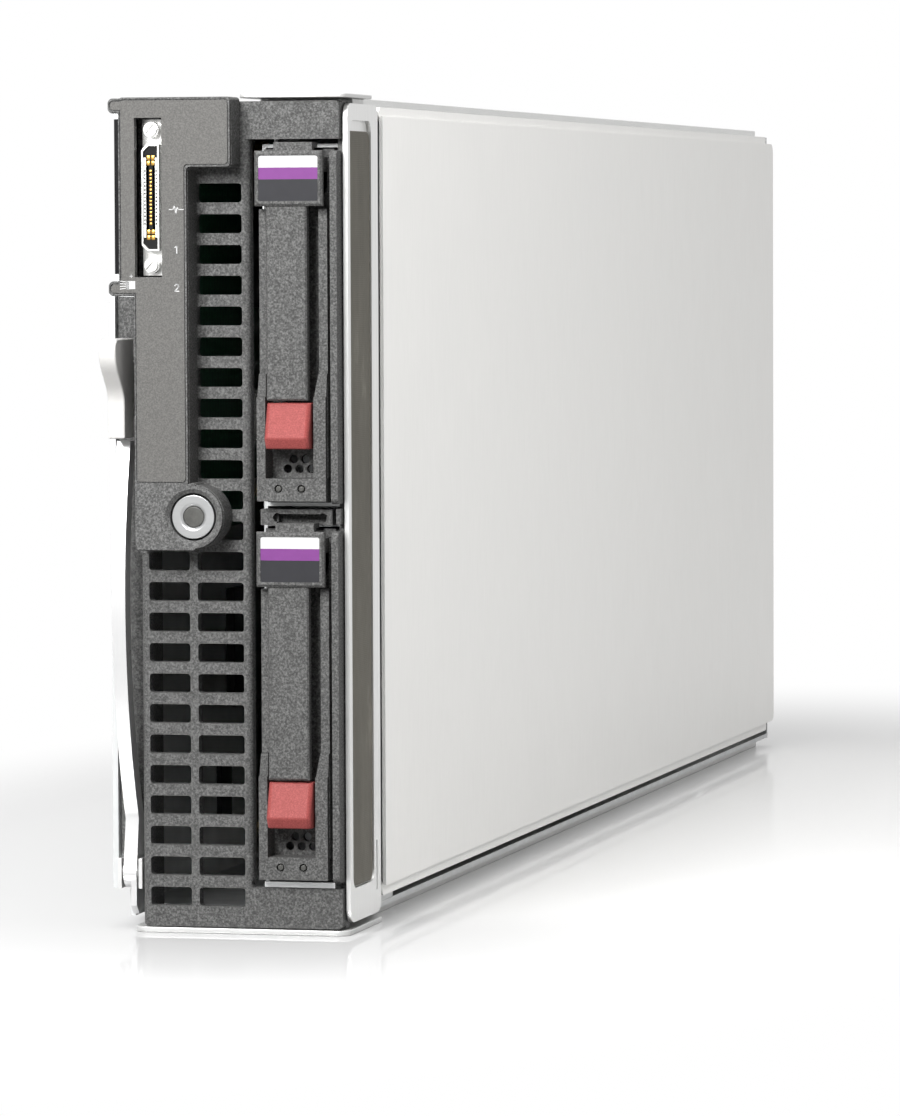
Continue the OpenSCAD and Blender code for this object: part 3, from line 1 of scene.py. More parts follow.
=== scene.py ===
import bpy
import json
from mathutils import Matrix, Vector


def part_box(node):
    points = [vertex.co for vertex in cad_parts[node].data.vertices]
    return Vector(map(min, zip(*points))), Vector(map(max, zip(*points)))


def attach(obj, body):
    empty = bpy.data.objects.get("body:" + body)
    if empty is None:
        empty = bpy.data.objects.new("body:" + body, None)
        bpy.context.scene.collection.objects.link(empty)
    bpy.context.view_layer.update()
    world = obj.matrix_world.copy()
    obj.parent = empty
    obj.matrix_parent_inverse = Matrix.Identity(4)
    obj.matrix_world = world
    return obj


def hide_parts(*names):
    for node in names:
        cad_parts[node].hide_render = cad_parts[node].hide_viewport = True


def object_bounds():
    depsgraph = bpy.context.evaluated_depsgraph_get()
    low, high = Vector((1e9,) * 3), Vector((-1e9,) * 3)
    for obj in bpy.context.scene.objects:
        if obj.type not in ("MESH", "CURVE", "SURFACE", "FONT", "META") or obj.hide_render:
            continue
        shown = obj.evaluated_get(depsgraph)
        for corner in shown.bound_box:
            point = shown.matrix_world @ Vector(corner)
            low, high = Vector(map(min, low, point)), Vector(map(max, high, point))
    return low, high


bl_info = {
    "name": "Half-height blade server",
    "version": (1, 0, 0),
    "blender": (4, 5, 0),
    "location": "View3D > Sidebar > Blade server",
    "description": "Finishes, small parts and studio stage for a half-height blade server",
    "category": "Object",
}

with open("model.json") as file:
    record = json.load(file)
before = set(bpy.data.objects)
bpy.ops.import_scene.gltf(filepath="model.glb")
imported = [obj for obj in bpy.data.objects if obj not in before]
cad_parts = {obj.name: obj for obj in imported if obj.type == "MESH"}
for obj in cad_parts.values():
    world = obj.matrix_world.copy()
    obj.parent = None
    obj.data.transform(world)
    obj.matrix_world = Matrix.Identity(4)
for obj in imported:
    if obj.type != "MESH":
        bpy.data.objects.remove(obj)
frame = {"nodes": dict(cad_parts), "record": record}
cad_low, cad_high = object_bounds()

import json
import math

import bmesh
import bpy
from bpy.props import FloatProperty, FloatVectorProperty, IntProperty, PointerProperty
from mathutils import Matrix, Vector

MM = 0.001


# ---- Places taken from the frame ----


class Place:
    """The box of a CAD node, in metres."""

    def __init__(self, node):
        low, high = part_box(node)
        self.x0, self.y0, self.z0 = low
        self.x1, self.y1, self.z1 = high

    @property
    def middle(self):
        return Vector(((self.x0 + self.x1) / 2, (self.y0 + self.y1) / 2, (self.z0 + self.z1) / 2))


BEZEL_Y = Place("front_bezel").y0


def solids(node):
    """The low and high corners of each separate solid in a CAD node, from bottom to top."""
    mesh = frame["nodes"][node].data
    keys = [tuple(round(c, 6) for c in v.co) for v in mesh.vertices]
    parent = {key: key for key in keys}

    def root(key):
        while parent[key] != key:
            parent[key] = parent[parent[key]]
            key = parent[key]
        return key

    for face in mesh.polygons:
        first, *others = [root(keys[i]) for i in face.vertices]
        for other in others:
            parent[root(other)] = root(first)
    groups = {}
    for key in parent:
        groups.setdefault(root(key), []).append(key)
    boxes = [
        (Vector(min(k[i] for k in group) for i in range(3)), Vector(max(k[i] for k in group) for i in range(3)))
        for group in groups.values()
    ]
    return sorted(boxes, key=lambda box: (round(box[0].z, 4), box[0].y))


# ---- Sizes and colours a user may change ----


def colour_property(name, description, default):
    return FloatVectorProperty(
        name=name, description=description, default=default, size=3, min=0.0, max=1.0, subtype="COLOR"
    )


def length_property(name, description, millimetres):
    return FloatProperty(
        name=name, description=description, default=millimetres * MM, min=0.0, unit="LENGTH", precision=5
    )


class BladeColours(bpy.types.PropertyGroup):
    """Colours of the blade's finishes"""

    bezel: colour_property("Bezel", "Grained dark moulding of the front bezel", (0.125, 0.125, 0.123))
    panel: colour_property("Control panel", "Moulding of the control panel", (0.135, 0.135, 0.133))
    overlay: colour_property("Overlay", "Printed sheet on the control panel", (0.16, 0.157, 0.15))
    carrier: colour_property("Carrier", "Drive carrier moulding", (0.12, 0.12, 0.118))
    eject_button: colour_property("Eject button", "Red moulding of the drive's button", (0.37, 0.085, 0.08))
    label_upper: colour_property("Label, upper band", "Top band of the drive label", (0.78, 0.78, 0.78))
    label_middle: colour_property("Label, middle band", "Violet band of the drive label", (0.25, 0.075, 0.29))
    label_lower: colour_property("Label, lower band", "Dark band of the drive label", (0.045, 0.045, 0.05))
    sheet_steel: colour_property("Sheet steel", "Zinc-plated sheet", (0.68, 0.69, 0.69))
    panel_steel: colour_property("Access panel", "Brushed sheet of the access panel", (0.63, 0.625, 0.61))
    gasket: colour_property("Gasket", "Woven conductive cloth", (0.25, 0.236, 0.2))
    gold: colour_property("Gold", "Plating of the contacts", (0.62, 0.36, 0.09))
    board: colour_property("Circuit board", "Solder mask of the boards", (0.01, 0.055, 0.025))


class BladeSizes(bpy.types.PropertyGroup):
    """Sizes of the fine work on the blade"""

    moulding_bevel: length_property("Moulding edge", "Rounding of moulded edges", 0.35)
    sheet_bevel: length_property("Sheet edge", "Rounding of folded sheet edges", 0.25)
    label_thickness: length_property("Label thickness", "Thickness of a printed label", 0.1)
    grain: length_property("Grain", "Size of the moulded surface's grain", 0.42)
    bevel_steps: IntProperty(name="Edge steps", description="Facets across a rounded edge", default=3, min=1, max=6)


class StageSettings(bpy.types.PropertyGroup):
    """Camera and floor"""

    lens: FloatProperty(name="Lens", description="Focal length", default=0.19949, unit="CAMERA")
    camera_place: FloatVectorProperty(
        name="Camera place", description="Where the camera stands", default=(0.35804, -1.53456, 0.15142),
        size=3, subtype="TRANSLATION", unit="LENGTH",
    )
    camera_yaw: FloatProperty(
        name="Camera yaw", description="Turn of the camera to the left", default=math.radians(13.434), subtype="ANGLE"
    )
    camera_pitch: FloatProperty(
        name="Camera pitch", description="Tilt of the camera downwards", default=math.radians(3.0), subtype="ANGLE"
    )
    camera_roll: FloatProperty(
        name="Camera roll", description="Roll of the camera", default=-0.0041, subtype="ANGLE"
    )
    reflection: FloatProperty(
        name="Floor gloss", description="Share of the reflection in the floor", default=0.32, min=0.0, max=1.0,
        subtype="FACTOR",
    )


# ---- Finishes ----


def new_finish(name, colour, roughness, metallic=0.0, specular=0.12):
    """A principled material with its uniform values on the shader's own sockets."""
    material = bpy.data.materials.new(name)
    material.use_nodes = True
    shader = material.node_tree.nodes["Principled BSDF"]
    shader.inputs["Base Color"].default_value = (*colour, 1.0)
    shader.inputs["Roughness"].default_value = roughness
    shader.inputs["Metallic"].default_value = metallic
    shader.inputs["Specular IOR Level"].default_value = specular
    return material, shader


def object_coords(material, stretch=(1.0, 1.0, 1.0)):
    """Object coordinates through a Mapping node, so that a pattern can be stretched."""
    nodes, links = material.node_tree.nodes, material.node_tree.links
    source = nodes.new("ShaderNodeTexCoord")
    mapping = nodes.new("ShaderNodeMapping")
    mapping.inputs["Scale"].default_value = stretch
    links.new(source.outputs["Object"], mapping.inputs["Vector"])
    return mapping.outputs["Vector"]


def add_noise(material, coords, cell, detail=2.0, rough=0.5):
    """Noise whose features are about cell metres across."""
    noise = material.node_tree.nodes.new("ShaderNodeTexNoise")
    noise.inputs["Scale"].default_value = 1.0 / cell
    noise.inputs["Detail"].default_value = detail
    noise.inputs["Roughness"].default_value = rough
    material.node_tree.links.new(coords, noise.inputs["Vector"])
    return noise.outputs["Fac"]


def add_ramp(material, value, stops):
    """A colour ramp over value; stops are (position, colour)."""
    ramp = material.node_tree.nodes.new("ShaderNodeValToRGB")
    elements = ramp.color_ramp.elements
    while len(elements) < len(stops):
        elements.new(0.5)
    for element, (position, colour) in zip(elements, stops):
        element.position = position
        element.color = (*colour, 1.0)
    material.node_tree.links.new(value, ramp.inputs["Fac"])
    return ramp.outputs["Color"]


def add_bump(material, shader, height, distance, strength=1.0):
    bump = material.node_tree.nodes.new("ShaderNodeBump")
    bump.inputs["Distance"].default_value = distance
    bump.inputs["Strength"].default_value = strength
    material.node_tree.links.new(height, bump.inputs["Height"])
    previous = shader.inputs["Normal"].links
    if previous:
        material.node_tree.links.new(previous[0].from_socket, bump.inputs["Normal"])
    material.node_tree.links.new(bump.outputs["Normal"], shader.inputs["Normal"])


def add_range(material, value, low, high):
    """Maps value from 0..1 to low..high."""
    scale = material.node_tree.nodes.new("ShaderNodeMapRange")
    scale.inputs["To Min"].default_value = low
    scale.inputs["To Max"].default_value = high
    material.node_tree.links.new(value, scale.inputs["Value"])
    return scale.outputs["Result"]


def shade(colour, factor):
    return tuple(min(1.0, c * factor) for c in colour)


def grained_plastic(name, colour, roughness=0.5, depth=0.07, cell=None, contrast=0.45):
    """Spark-eroded moulding: a fine pebbled grain, pale on its crests."""
    cell = cell or bpy.context.scene.blade_sizes.grain
    material, shader = new_finish(name, colour, roughness)
    coords = object_coords(material)
    grain = add_noise(material, coords, cell, 3.0, 0.6)
    tint = add_ramp(
        material, grain,
        [(0.34, shade(colour, 1 - contrast)), (0.5, colour), (0.68, shade(colour, 1 + 1.8 * contrast))],
    )
    material.node_tree.links.new(tint, shader.inputs["Base Color"])
    material.node_tree.links.new(
        add_range(material, grain, roughness + 0.15, roughness - 0.15), shader.inputs["Roughness"]
    )
    add_bump(material, shader, grain, depth * MM)
    return material


def smooth_plastic(name, colour, roughness=0.35, wear=0.08):
    """Satin moulding with a faint mottle."""
    material, shader = new_finish(name, colour, roughness)
    coords = object_coords(material)
    mottle = add_noise(material, coords, 3 * MM, 4.0, 0.6)
    tint = add_ramp(material, mottle, [(0.3, shade(colour, 1 - wear)), (0.7, shade(colour, 1 + wear))])
    material.node_tree.links.new(tint, shader.inputs["Base Color"])
    material.node_tree.links.new(
        add_range(material, mottle, roughness - 0.08, roughness + 0.08), shader.inputs["Roughness"]
    )
    fine = add_noise(material, coords, 0.25 * MM, 2.0, 0.5)
    add_bump(material, shader, fine, 0.008 * MM)
    return material


def brushed_steel(name, colour, roughness=0.38, metallic=0.55, along="Y", contrast=0.05):
    """Sheet steel, brushed along one axis."""
    material, shader = new_finish(name, colour, roughness, metallic)
    long, short = 0.04, 1.0
    stretch = {"X": (long, short, short), "Y": (short, long, short), "Z": (short, short, long)}[along]
    lines = add_noise(material, object_coords(material, stretch), 0.35 * MM, 4.0, 0.7)
    cloud = add_noise(material, object_coords(material), 18 * MM, 3.0, 0.55)
    tint = add_ramp(
        material, lines, [(0.25, shade(colour, 1 - contrast)), (0.75, shade(colour, 1 + contrast))]
    )
    material.node_tree.links.new(tint, shader.inputs["Base Color"])
    material.node_tree.links.new(
        add_range(material, cloud, roughness - 0.07, roughness + 0.07), shader.inputs["Roughness"]
    )
    add_bump(material, shader, lines, 0.006 * MM)
    return material


def zinc_sheet(name, colour, roughness=0.42, metallic=0.5):
    """Plated sheet with a soft spangle."""
    material, shader = new_finish(name, colour, roughness, metallic)
    coords = object_coords(material)
    spangle = material.node_tree.nodes.new("ShaderNodeTexVoronoi")
    spangle.inputs["Scale"].default_value = 1 / (6 * MM)
    material.node_tree.links.new(coords, spangle.inputs["Vector"])
    tint = add_ramp(
        material, spangle.outputs["Distance"], [(0.0, shade(colour, 1.03)), (0.9, shade(colour, 0.94))]
    )
    material.node_tree.links.new(tint, shader.inputs["Base Color"])
    material.node_tree.links.new(
        add_range(material, spangle.outputs["Distance"], roughness - 0.06, roughness + 0.1),
        shader.inputs["Roughness"],
    )
    add_bump(material, shader, add_noise(material, coords, 0.3 * MM, 3.0, 0.6), 0.006 * MM)
    return material


def woven_cloth(name, colour):
    """Conductive cloth: a fine plain weave with stretched creases, with painted shade in the crease hollows and a
    painted sheen on the crease ridges.
    """
    material, shader = new_finish(name, colour, 0.62, 0.15)
    coords = object_coords(material)
    links = material.node_tree.links
    threads = []
    for direction in ("Y", "Z"):
        wave = material.node_tree.nodes.new("ShaderNodeTexWave")
        wave.wave_type = "BANDS"
        wave.bands_direction = direction
        wave.inputs["Scale"].default_value = 1 / (1.3 * MM)
        links.new(coords, wave.inputs["Vector"])
        threads.append(wave.outputs["Fac"])
    weave = material.node_tree.nodes.new("ShaderNodeMath")
    weave.operation = "MULTIPLY"
    links.new(threads[0], weave.inputs[0])
    links.new(threads[1], weave.inputs[1])
    crease_relief_and_painted_light = add_noise(material, object_coords(material, (1.0, 0.5, 0.2)), 5 * MM, 4.0, 0.65)
    # painted shade in the crease hollows and painted sheen on the crease ridges, from the same noise that raises the
    # crease bump
    tint = add_ramp(
        material, crease_relief_and_painted_light,
        [(0.3, shade(colour, 0.86)), (0.5, colour), (0.64, shade(colour, 1.12)), (0.72, shade(colour, 1.45))],
    )
    links.new(tint, shader.inputs["Base Color"])
    add_bump(material, shader, weave.outputs["Value"], 0.03 * MM)
    add_bump(material, shader, crease_relief_and_painted_light, 0.12 * MM)
    return material


def solder_mask(name, colour):
    """Circuit board: traces and pads showing through a glossy mask."""
    material, shader = new_finish(name, colour, 0.3)
    coords = object_coords(material)
    links = material.node_tree.links
    bricks = material.node_tree.nodes.new("ShaderNodeTexBrick")
    bricks.offset = 0.37
    bricks.inputs["Scale"].default_value = 1 / (9 * MM)
    bricks.inputs["Mortar Size"].default_value = 0.03
    bricks.inputs["Color1"].default_value = (*colour, 1)
    bricks.inputs["Color2"].default_value = (*shade(colour, 1.25), 1)
    bricks.inputs["Mortar"].default_value = (*shade(colour, 1.9), 1)
    turned = material.node_tree.nodes.new("ShaderNodeMapping")
    turned.inputs["Rotation"].default_value = (0, math.radians(90), 0)
    links.new(coords, turned.inputs["Vector"])
    links.new(turned.outputs["Vector"], bricks.inputs["Vector"])
    links.new(bricks.outputs["Color"], shader.inputs["Base Color"])
    add_bump(material, shader, bricks.outputs["Fac"], 0.03 * MM)
    return material


def gold_plate(name, colour):
    material, shader = new_finish(name, colour, 0.3, 0.9)
    tone = add_noise(material, object_coords(material), 1.5 * MM, 2.0)
    tint = add_ramp(material, tone, [(0.3, shade(colour, 0.85)), (0.7, shade(colour, 1.15))])
    material.node_tree.links.new(tint, shader.inputs["Base Color"])
    return material


FINISHES = {}


def finish(name):
    return FINISHES[name]


def make_finishes():
    colours = bpy.context.scene.blade_colours
    steel = tuple(colours.sheet_steel)
    FINISHES.update(
        {
            "zinc_steel": zinc_sheet("Zinc sheet", steel),
            "frame_steel": brushed_steel("Frame steel", (0.74, 0.74, 0.73), 0.34, 0.85, "Z"),
            "panel_steel": brushed_steel("Access panel steel", tuple(colours.panel_steel), 0.45, 0.8, "Z", 0.035),
            "lid_steel": brushed_steel("Lid steel", (0.72, 0.72, 0.71), 0.36, 0.5, "X"),
            "bezel_plastic": grained_plastic("Bezel moulding", tuple(colours.bezel)),
            "panel_plastic": grained_plastic("Control panel moulding", tuple(colours.panel), 0.5, 0.035),
            "overlay_print": grained_plastic("Overlay sheet", tuple(colours.overlay), 0.42, 0.02, 0.3 * MM, 0.18),
            "carrier_plastic": grained_plastic("Carrier moulding", tuple(colours.carrier), 0.55, 0.06),
            "gasket_fabric": woven_cloth("Gasket cloth", tuple(colours.gasket)),
            "connector_metal": brushed_steel("Connector shell", (0.75, 0.75, 0.73), 0.28, 0.8, "Z"),
            "connector_black": smooth_plastic("Insulator", (0.012, 0.012, 0.012), 0.4),
            "board_green": solder_mask("Board mask", tuple(colours.board)),
            "mezz_blue": solder_mask("Card mask", (0.02, 0.09, 0.17)),
            "brass": brushed_steel("Brass", (0.6, 0.45, 0.2), 0.32, 0.9, "X"),
            "socket_ivory": smooth_plastic("Processor socket", (0.7, 0.66, 0.55), 0.4),
            "heat_spreader": brushed_steel("Heat spreader", (0.6, 0.61, 0.62), 0.35, 0.8, "Y"),
            "sink_aluminium": brushed_steel("Heatsink fins", (0.6, 0.61, 0.62), 0.36, 0.75, "Y"),
            "screw_steel": brushed_steel("Screw steel", (0.5, 0.5, 0.51), 0.3, 0.9, "Y"),
            "socket_black": smooth_plastic("Socket moulding", (0.02, 0.02, 0.023), 0.42),
            "latch_white": smooth_plastic("Latch moulding", (0.75, 0.74, 0.69), 0.42, 0.04),
            "inductor_grey": grained_plastic("Inductor ferrite", (0.09, 0.09, 0.095), 0.6, 0.03, 0.5 * MM, 0.2),
            "disk_aluminium": zinc_sheet("Disk casting", (0.55, 0.56, 0.57), 0.4, 0.7),
            "button_red": grained_plastic(
                "Eject button moulding", tuple(colours.eject_button), 0.45, 0.03, 0.3 * MM, 0.16
            ),
            "catch_grey": smooth_plastic("Release button moulding", (0.8, 0.79, 0.77), 0.42, 0.02),
            "lever_silver": brushed_steel("Lever finish", (0.76, 0.76, 0.76), 0.3, 0.6, "Z", 0.02),
            "power_silver": brushed_steel("Power button finish", (0.42, 0.425, 0.425), 0.3, 0.7, "X"),
            "lamp_grey": smooth_plastic("Lamp lens", (0.13, 0.13, 0.122), 0.2, 0.3),
            "tab_black": smooth_plastic("Pull tab sheet", (0.012, 0.012, 0.013), 0.25),
            "gold": gold_plate("Contact gold", tuple(colours.gold)),
            "label_white": smooth_plastic("Label white", tuple(colours.label_upper), 0.35, 0.01),
            "label_violet": smooth_plastic("Label violet", tuple(colours.label_middle), 0.35, 0.04),
            "label_dark": smooth_plastic("Label dark", tuple(colours.label_lower), 0.35, 0.04),
            "print_white": smooth_plastic("Print white", (0.7, 0.7, 0.7), 0.4, 0.02),
        }
    )


# ---- Modelling helpers ----


def select_only(obj):
    bpy.ops.object.select_all(action="DESELECT")
    obj.select_set(True)
    bpy.context.view_layer.objects.active = obj


def set_finish(obj, name):
    """Gives the whole piece one finish."""
    obj.data.materials.clear()
    obj.data.materials.append(finish(name))


def own_name(obj, name):
    obj.name = name
    obj.data.name = name


def apply_place(obj):
    """Moves the object's place and size into its mesh."""
    select_only(obj)
    bpy.ops.object.transform_apply(location=True, rotation=True, scale=True)


def block(name, x0, x1, y0, y1, z0, z1):
    """A box between two corners, in metres."""
    bpy.ops.object.select_all(action="DESELECT")
    bpy.ops.mesh.primitive_cube_add(size=1, location=((x0 + x1) / 2, (y0 + y1) / 2, (z0 + z1) / 2))
    obj = bpy.context.object
    obj.scale = (x1 - x0, y1 - y0, z1 - z0)
    own_name(obj, name)
    apply_place(obj)
    return obj


TURNS = {"X": (0, math.radians(90), 0), "Y": (math.radians(90), 0, 0), "Z": (0, 0, 0)}


def rod(name, axis, radius, centre, length, sides=32):
    """A cylinder along an axis, from its middle point."""
    bpy.ops.object.select_all(action="DESELECT")
    bpy.ops.mesh.primitive_cylinder_add(
        vertices=sides, radius=radius, depth=length, location=centre, rotation=TURNS[axis]
    )
    obj = bpy.context.object
    own_name(obj, name)
    apply_place(obj)
    return obj


def bar(name, centre, size, turn=(0, 0, 0)):
    """A box about its middle point, turned by Euler angles."""
    bpy.ops.object.select_all(action="DESELECT")
    bpy.ops.mesh.primitive_cube_add(size=1, location=centre, rotation=turn)
    obj = bpy.context.object
    obj.scale = size
    own_name(obj, name)
    apply_place(obj)
    return obj


def stroke(name, points, width, y0, y1):
    """Thin bars from point to point on a plane that faces the front."""
    bars = []
    for (xa, za), (xb, zb) in zip(points, points[1:]):
        length = math.hypot(xb - xa, zb - za)
        middle = ((xa + xb) / 2, (y0 + y1) / 2, (za + zb) / 2)
        turn = (0, -math.atan2(zb - za, xb - xa), 0)
        bars.append(bar(name, middle, (length + 0.6 * width, y1 - y0, width), turn))
    return join(bars, name)


def copy_to(obj, steps):
    """Copies of a piece, each with its own mesh, joined to it."""
    copies = [obj]
    for step in steps:
        select_only(obj)
        bpy.ops.object.duplicate()
        bpy.context.object.location = step
        apply_place(bpy.context.object)
        copies.append(bpy.context.object)
    return join(copies, obj.name)


def row(obj, count, step):
    """Repeats a piece in a straight row."""
    add_modifier(
        obj, "ARRAY", count=count, use_relative_offset=False, use_constant_offset=True,
        constant_offset_displace=step,
    )
    return obj


def cut(obj, tool):
    """Takes the tool out of the piece."""
    add_modifier(obj, "BOOLEAN", operation="DIFFERENCE", object=tool, solver="EXACT")
    bpy.data.objects.remove(tool)


def bevel_corners(obj, test, width, steps=4):
    """Rounds the edges whose middle point and direction pass the test."""
    select_only(obj)
    bpy.ops.object.mode_set(mode="EDIT")
    bpy.ops.mesh.select_mode(type="EDGE")
    bpy.ops.mesh.select_all(action="DESELECT")
    mesh = bmesh.from_edit_mesh(obj.data)
    for edge in mesh.edges:
        a, b = (v.co for v in edge.verts)
        edge.select_set(test((a + b) / 2, (b - a).normalized()))
    bmesh.update_edit_mesh(obj.data)
    bpy.ops.mesh.bevel(offset=width, segments=steps, affect="EDGES")
    leave_edit()


def pick_faces(obj, test):
    """Enters edit mode with only the faces that pass test(centre, normal) selected."""
    select_only(obj)
    bpy.ops.object.mode_set(mode="EDIT")
    bpy.ops.mesh.select_mode(type="FACE")
    bpy.ops.mesh.select_all(action="DESELECT")
    mesh = bmesh.from_edit_mesh(obj.data)
    found = [f for f in mesh.faces if test(f.calc_center_median(), f.normal)]
    for face in found:
        face.select_set(True)
    bmesh.update_edit_mesh(obj.data)
    if not found:
        bpy.ops.object.mode_set(mode="OBJECT")
        raise RuntimeError(f"{obj.name}: no face to shape")


def leave_edit():
    bpy.ops.object.mode_set(mode="OBJECT")


def add_modifier(obj, kind, **values):
    """Adds a modifier and applies it."""
    select_only(obj)
    modifier = obj.modifiers.new(kind.title(), kind)
    for key, value in values.items():
        setattr(modifier, key, value)
    bpy.ops.object.modifier_apply(modifier=modifier.name)


def round_edges(obj, width, steps=None, angle=30):
    steps = steps or bpy.context.scene.blade_sizes.bevel_steps
    add_modifier(
        obj, "BEVEL", width=width, segments=steps, limit_method="ANGLE", angle_limit=math.radians(angle),
        use_clamp_overlap=True, harden_normals=False, miter_outer="MITER_ARC",
    )


def smooth(obj, angle=35):
    select_only(obj)
    bpy.ops.object.shade_smooth_by_angle(angle=math.radians(angle))
    add_modifier(obj, "WEIGHTED_NORMAL", keep_sharp=True, weight=100)


def clean_normals(obj):
    select_only(obj)
    bpy.ops.object.mode_set(mode="EDIT")
    bpy.ops.mesh.select_all(action="SELECT")
    bpy.ops.mesh.remove_doubles(threshold=1e-6)
    bpy.ops.mesh.normals_make_consistent(inside=False)
    leave_edit()


def softened(node, name, width, body, steps=None, angle=40):
    """A copy of a CAD node with rounded edges, which stands for the node."""
    source = frame["nodes"][node]
    select_only(source)
    bpy.ops.object.duplicate()
    obj = bpy.context.object
    for key in list(obj.keys()):
        del obj[key]
    obj.parent = None
    obj.matrix_world = Matrix.Identity(4)
    own_name(obj, name)
    bpy.ops.object.mode_set(mode="EDIT")
    bpy.ops.mesh.select_all(action="SELECT")
    bpy.ops.mesh.remove_doubles(threshold=2e-6)
    bpy.ops.mesh.dissolve_limited(angle_limit=math.radians(1.0))
    leave_edit()
    round_edges(obj, width, steps, angle)
    smooth(obj, 40)
    settle(obj, body, slot_of(node))
    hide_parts(node)
    return obj


def slot_of(node):
    return NODE_SLOTS[node]


def settle(obj, body, slot, finish_name=None):
    """Gives the piece its finish and its place on a body."""
    set_finish(obj, finish_name or slot)
    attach(obj, body)
    return obj


def join(pieces, name):
    bpy.ops.object.select_all(action="DESELECT")
    for piece in pieces:
        piece.select_set(True)
    bpy.context.view_layer.objects.active = pieces[0]
    if len(pieces) > 1:
        bpy.ops.object.join()
    own_name(bpy.context.object, name)
    return bpy.context.object


NODE_SLOTS = {entry["node"]: entry["material_slot"] for entry in frame["record"]["subparts"]}


# ---- Operators ----


class BLADE_OT_finishes(bpy.types.Operator):
    """Make the finishes and give every CAD node its own"""

    bl_idname = "blade.finishes"
    bl_label = "Finishes"

    def execute(self, context):
        make_finishes()
        for node, obj in frame["nodes"].items():
            set_finish(obj, slot_of(node))
        return {"FINISHED"}


class BLADE_OT_stage(bpy.types.Operator):
    """Set up the floor, the lamps, the world and the camera"""

    bl_idname = "blade.stage"
    bl_label = "Stage"

    def execute(self, context):
        settings = context.scene.stage_settings
        context.scene.view_settings.view_transform = "Standard"
        make_floor(settings)
        make_world(context.scene)
        make_lamps()
        make_camera(context.scene, settings)
        return {"FINISHED"}


def make_floor(settings):
    bpy.ops.object.select_all(action="DESELECT")
    bpy.ops.mesh.primitive_plane_add(size=12, location=(0, 0, cad_low.z - 0.02 * MM))
    floor = bpy.context.object
    own_name(floor, "studio_floor")
    apply_place(floor)
    material = bpy.data.materials.new("Studio floor")
    material.use_nodes = True
    nodes, links = material.node_tree.nodes, material.node_tree.links
    nodes.remove(nodes["Principled BSDF"])
    output = nodes["Material Output"]
    diffuse = nodes.new("ShaderNodeBsdfDiffuse")
    diffuse.inputs["Color"].default_value = (0.62, 0.62, 0.62, 1)
    glow = nodes.new("ShaderNodeEmission")
    glow.inputs["Strength"].default_value = 0.19
    lit = nodes.new("ShaderNodeAddShader")
    links.new(diffuse.outputs[0], lit.inputs[0])
    links.new(glow.outputs[0], lit.inputs[1])
    place = nodes.new("ShaderNodeSeparateXYZ")
    coords = nodes.new("ShaderNodeTexCoord")
    links.new(coords.outputs["Object"], place.inputs[0])
    reach = [
        fade(nodes, links, place.outputs["Y"], cad_low.y - 0.13, cad_low.y),
        fade(nodes, links, place.outputs["X"], cad_high.x + 0.075, cad_high.x),
    ]
    share = nodes.new("ShaderNodeMath")
    share.operation = "MULTIPLY"
    links.new(reach[0], share.inputs[0])
    links.new(reach[1], share.inputs[1])
    level = nodes.new("ShaderNodeMath")
    level.operation = "MULTIPLY"
    level.inputs[1].default_value = settings.reflection
    links.new(share.outputs[0], level.inputs[0])
    gloss = nodes.new("ShaderNodeBsdfGlossy")
    gloss.inputs["Roughness"].default_value = 0.06
    shiny = nodes.new("ShaderNodeMixShader")
    links.new(level.outputs[0], shiny.inputs["Fac"])
    links.new(lit.outputs[0], shiny.inputs[1])
    links.new(gloss.outputs[0], shiny.inputs[2])
    # Far from the blade the floor runs into the white backdrop
    ellipse = nodes.new("ShaderNodeMapping")
    ellipse.inputs["Scale"].default_value = (1 / 0.16, 1 / 0.4, 1)
    links.new(coords.outputs["Object"], ellipse.inputs["Vector"])
    far = nodes.new("ShaderNodeVectorMath")
    far.operation = "LENGTH"
    links.new(ellipse.outputs["Vector"], far.inputs[0])
    backdrop = nodes.new("ShaderNodeEmission")
    sweep = nodes.new("ShaderNodeMixShader")
    links.new(fade(nodes, links, far.outputs["Value"], 0.75, 1.3), sweep.inputs["Fac"])
    links.new(shiny.outputs[0], sweep.inputs[1])
    links.new(backdrop.outputs[0], sweep.inputs[2])
    seen = nodes.new("ShaderNodeMixShader")
    links.new(direct_view(nodes, links), seen.inputs["Fac"])
    dull = nodes.new("ShaderNodeBsdfDiffuse")
    dull.inputs["Color"].default_value = (0.2, 0.2, 0.2, 1)
    links.new(dull.outputs[0], seen.inputs[1])
    links.new(sweep.outputs[0], seen.inputs[2])
    links.new(seen.outputs[0], output.inputs["Surface"])
    floor.data.materials.append(material)


def fade(nodes, links, value, start, end):
    """Goes smoothly from 0 where value is at start to 1 where it is at end."""
    blend = nodes.new("ShaderNodeMapRange")
    blend.interpolation_type = "SMOOTHSTEP"
    blend.inputs["From Min"].default_value = start
    blend.inputs["From Max"].default_value = end
    links.new(value, blend.inputs["Value"])
    return blend.outputs["Result"]


def direct_view(nodes, links):
    """1 for rays from the camera and from mirrored faces, 0 for the rest."""
    rays = nodes.new("ShaderNodeLightPath")
    direct = nodes.new("ShaderNodeMath")
    direct.operation = "MAXIMUM"
    links.new(rays.outputs["Is Camera Ray"], direct.inputs[0])
    links.new(rays.outputs["Is Glossy Ray"], direct.inputs[1])
    return direct.outputs[0]


def make_world(scene):
    world = bpy.data.worlds.new("Studio")
    scene.world = world
    world.use_nodes = True
    nodes, links = world.node_tree.nodes, world.node_tree.links
    background = nodes["Background"]
    background.inputs["Color"].default_value = (1, 1, 1, 1)
    level = nodes.new("ShaderNodeMapRange")
    level.inputs["To Min"].default_value = 0.12
    level.inputs["To Max"].default_value = 1.0
    links.new(direct_view(nodes, links), level.inputs["Value"])
    links.new(level.outputs["Result"], background.inputs["Strength"])


def aim(obj, target):
    obj.rotation_euler = (Vector(target) - obj.location).to_track_quat("-Z", "Y").to_euler()


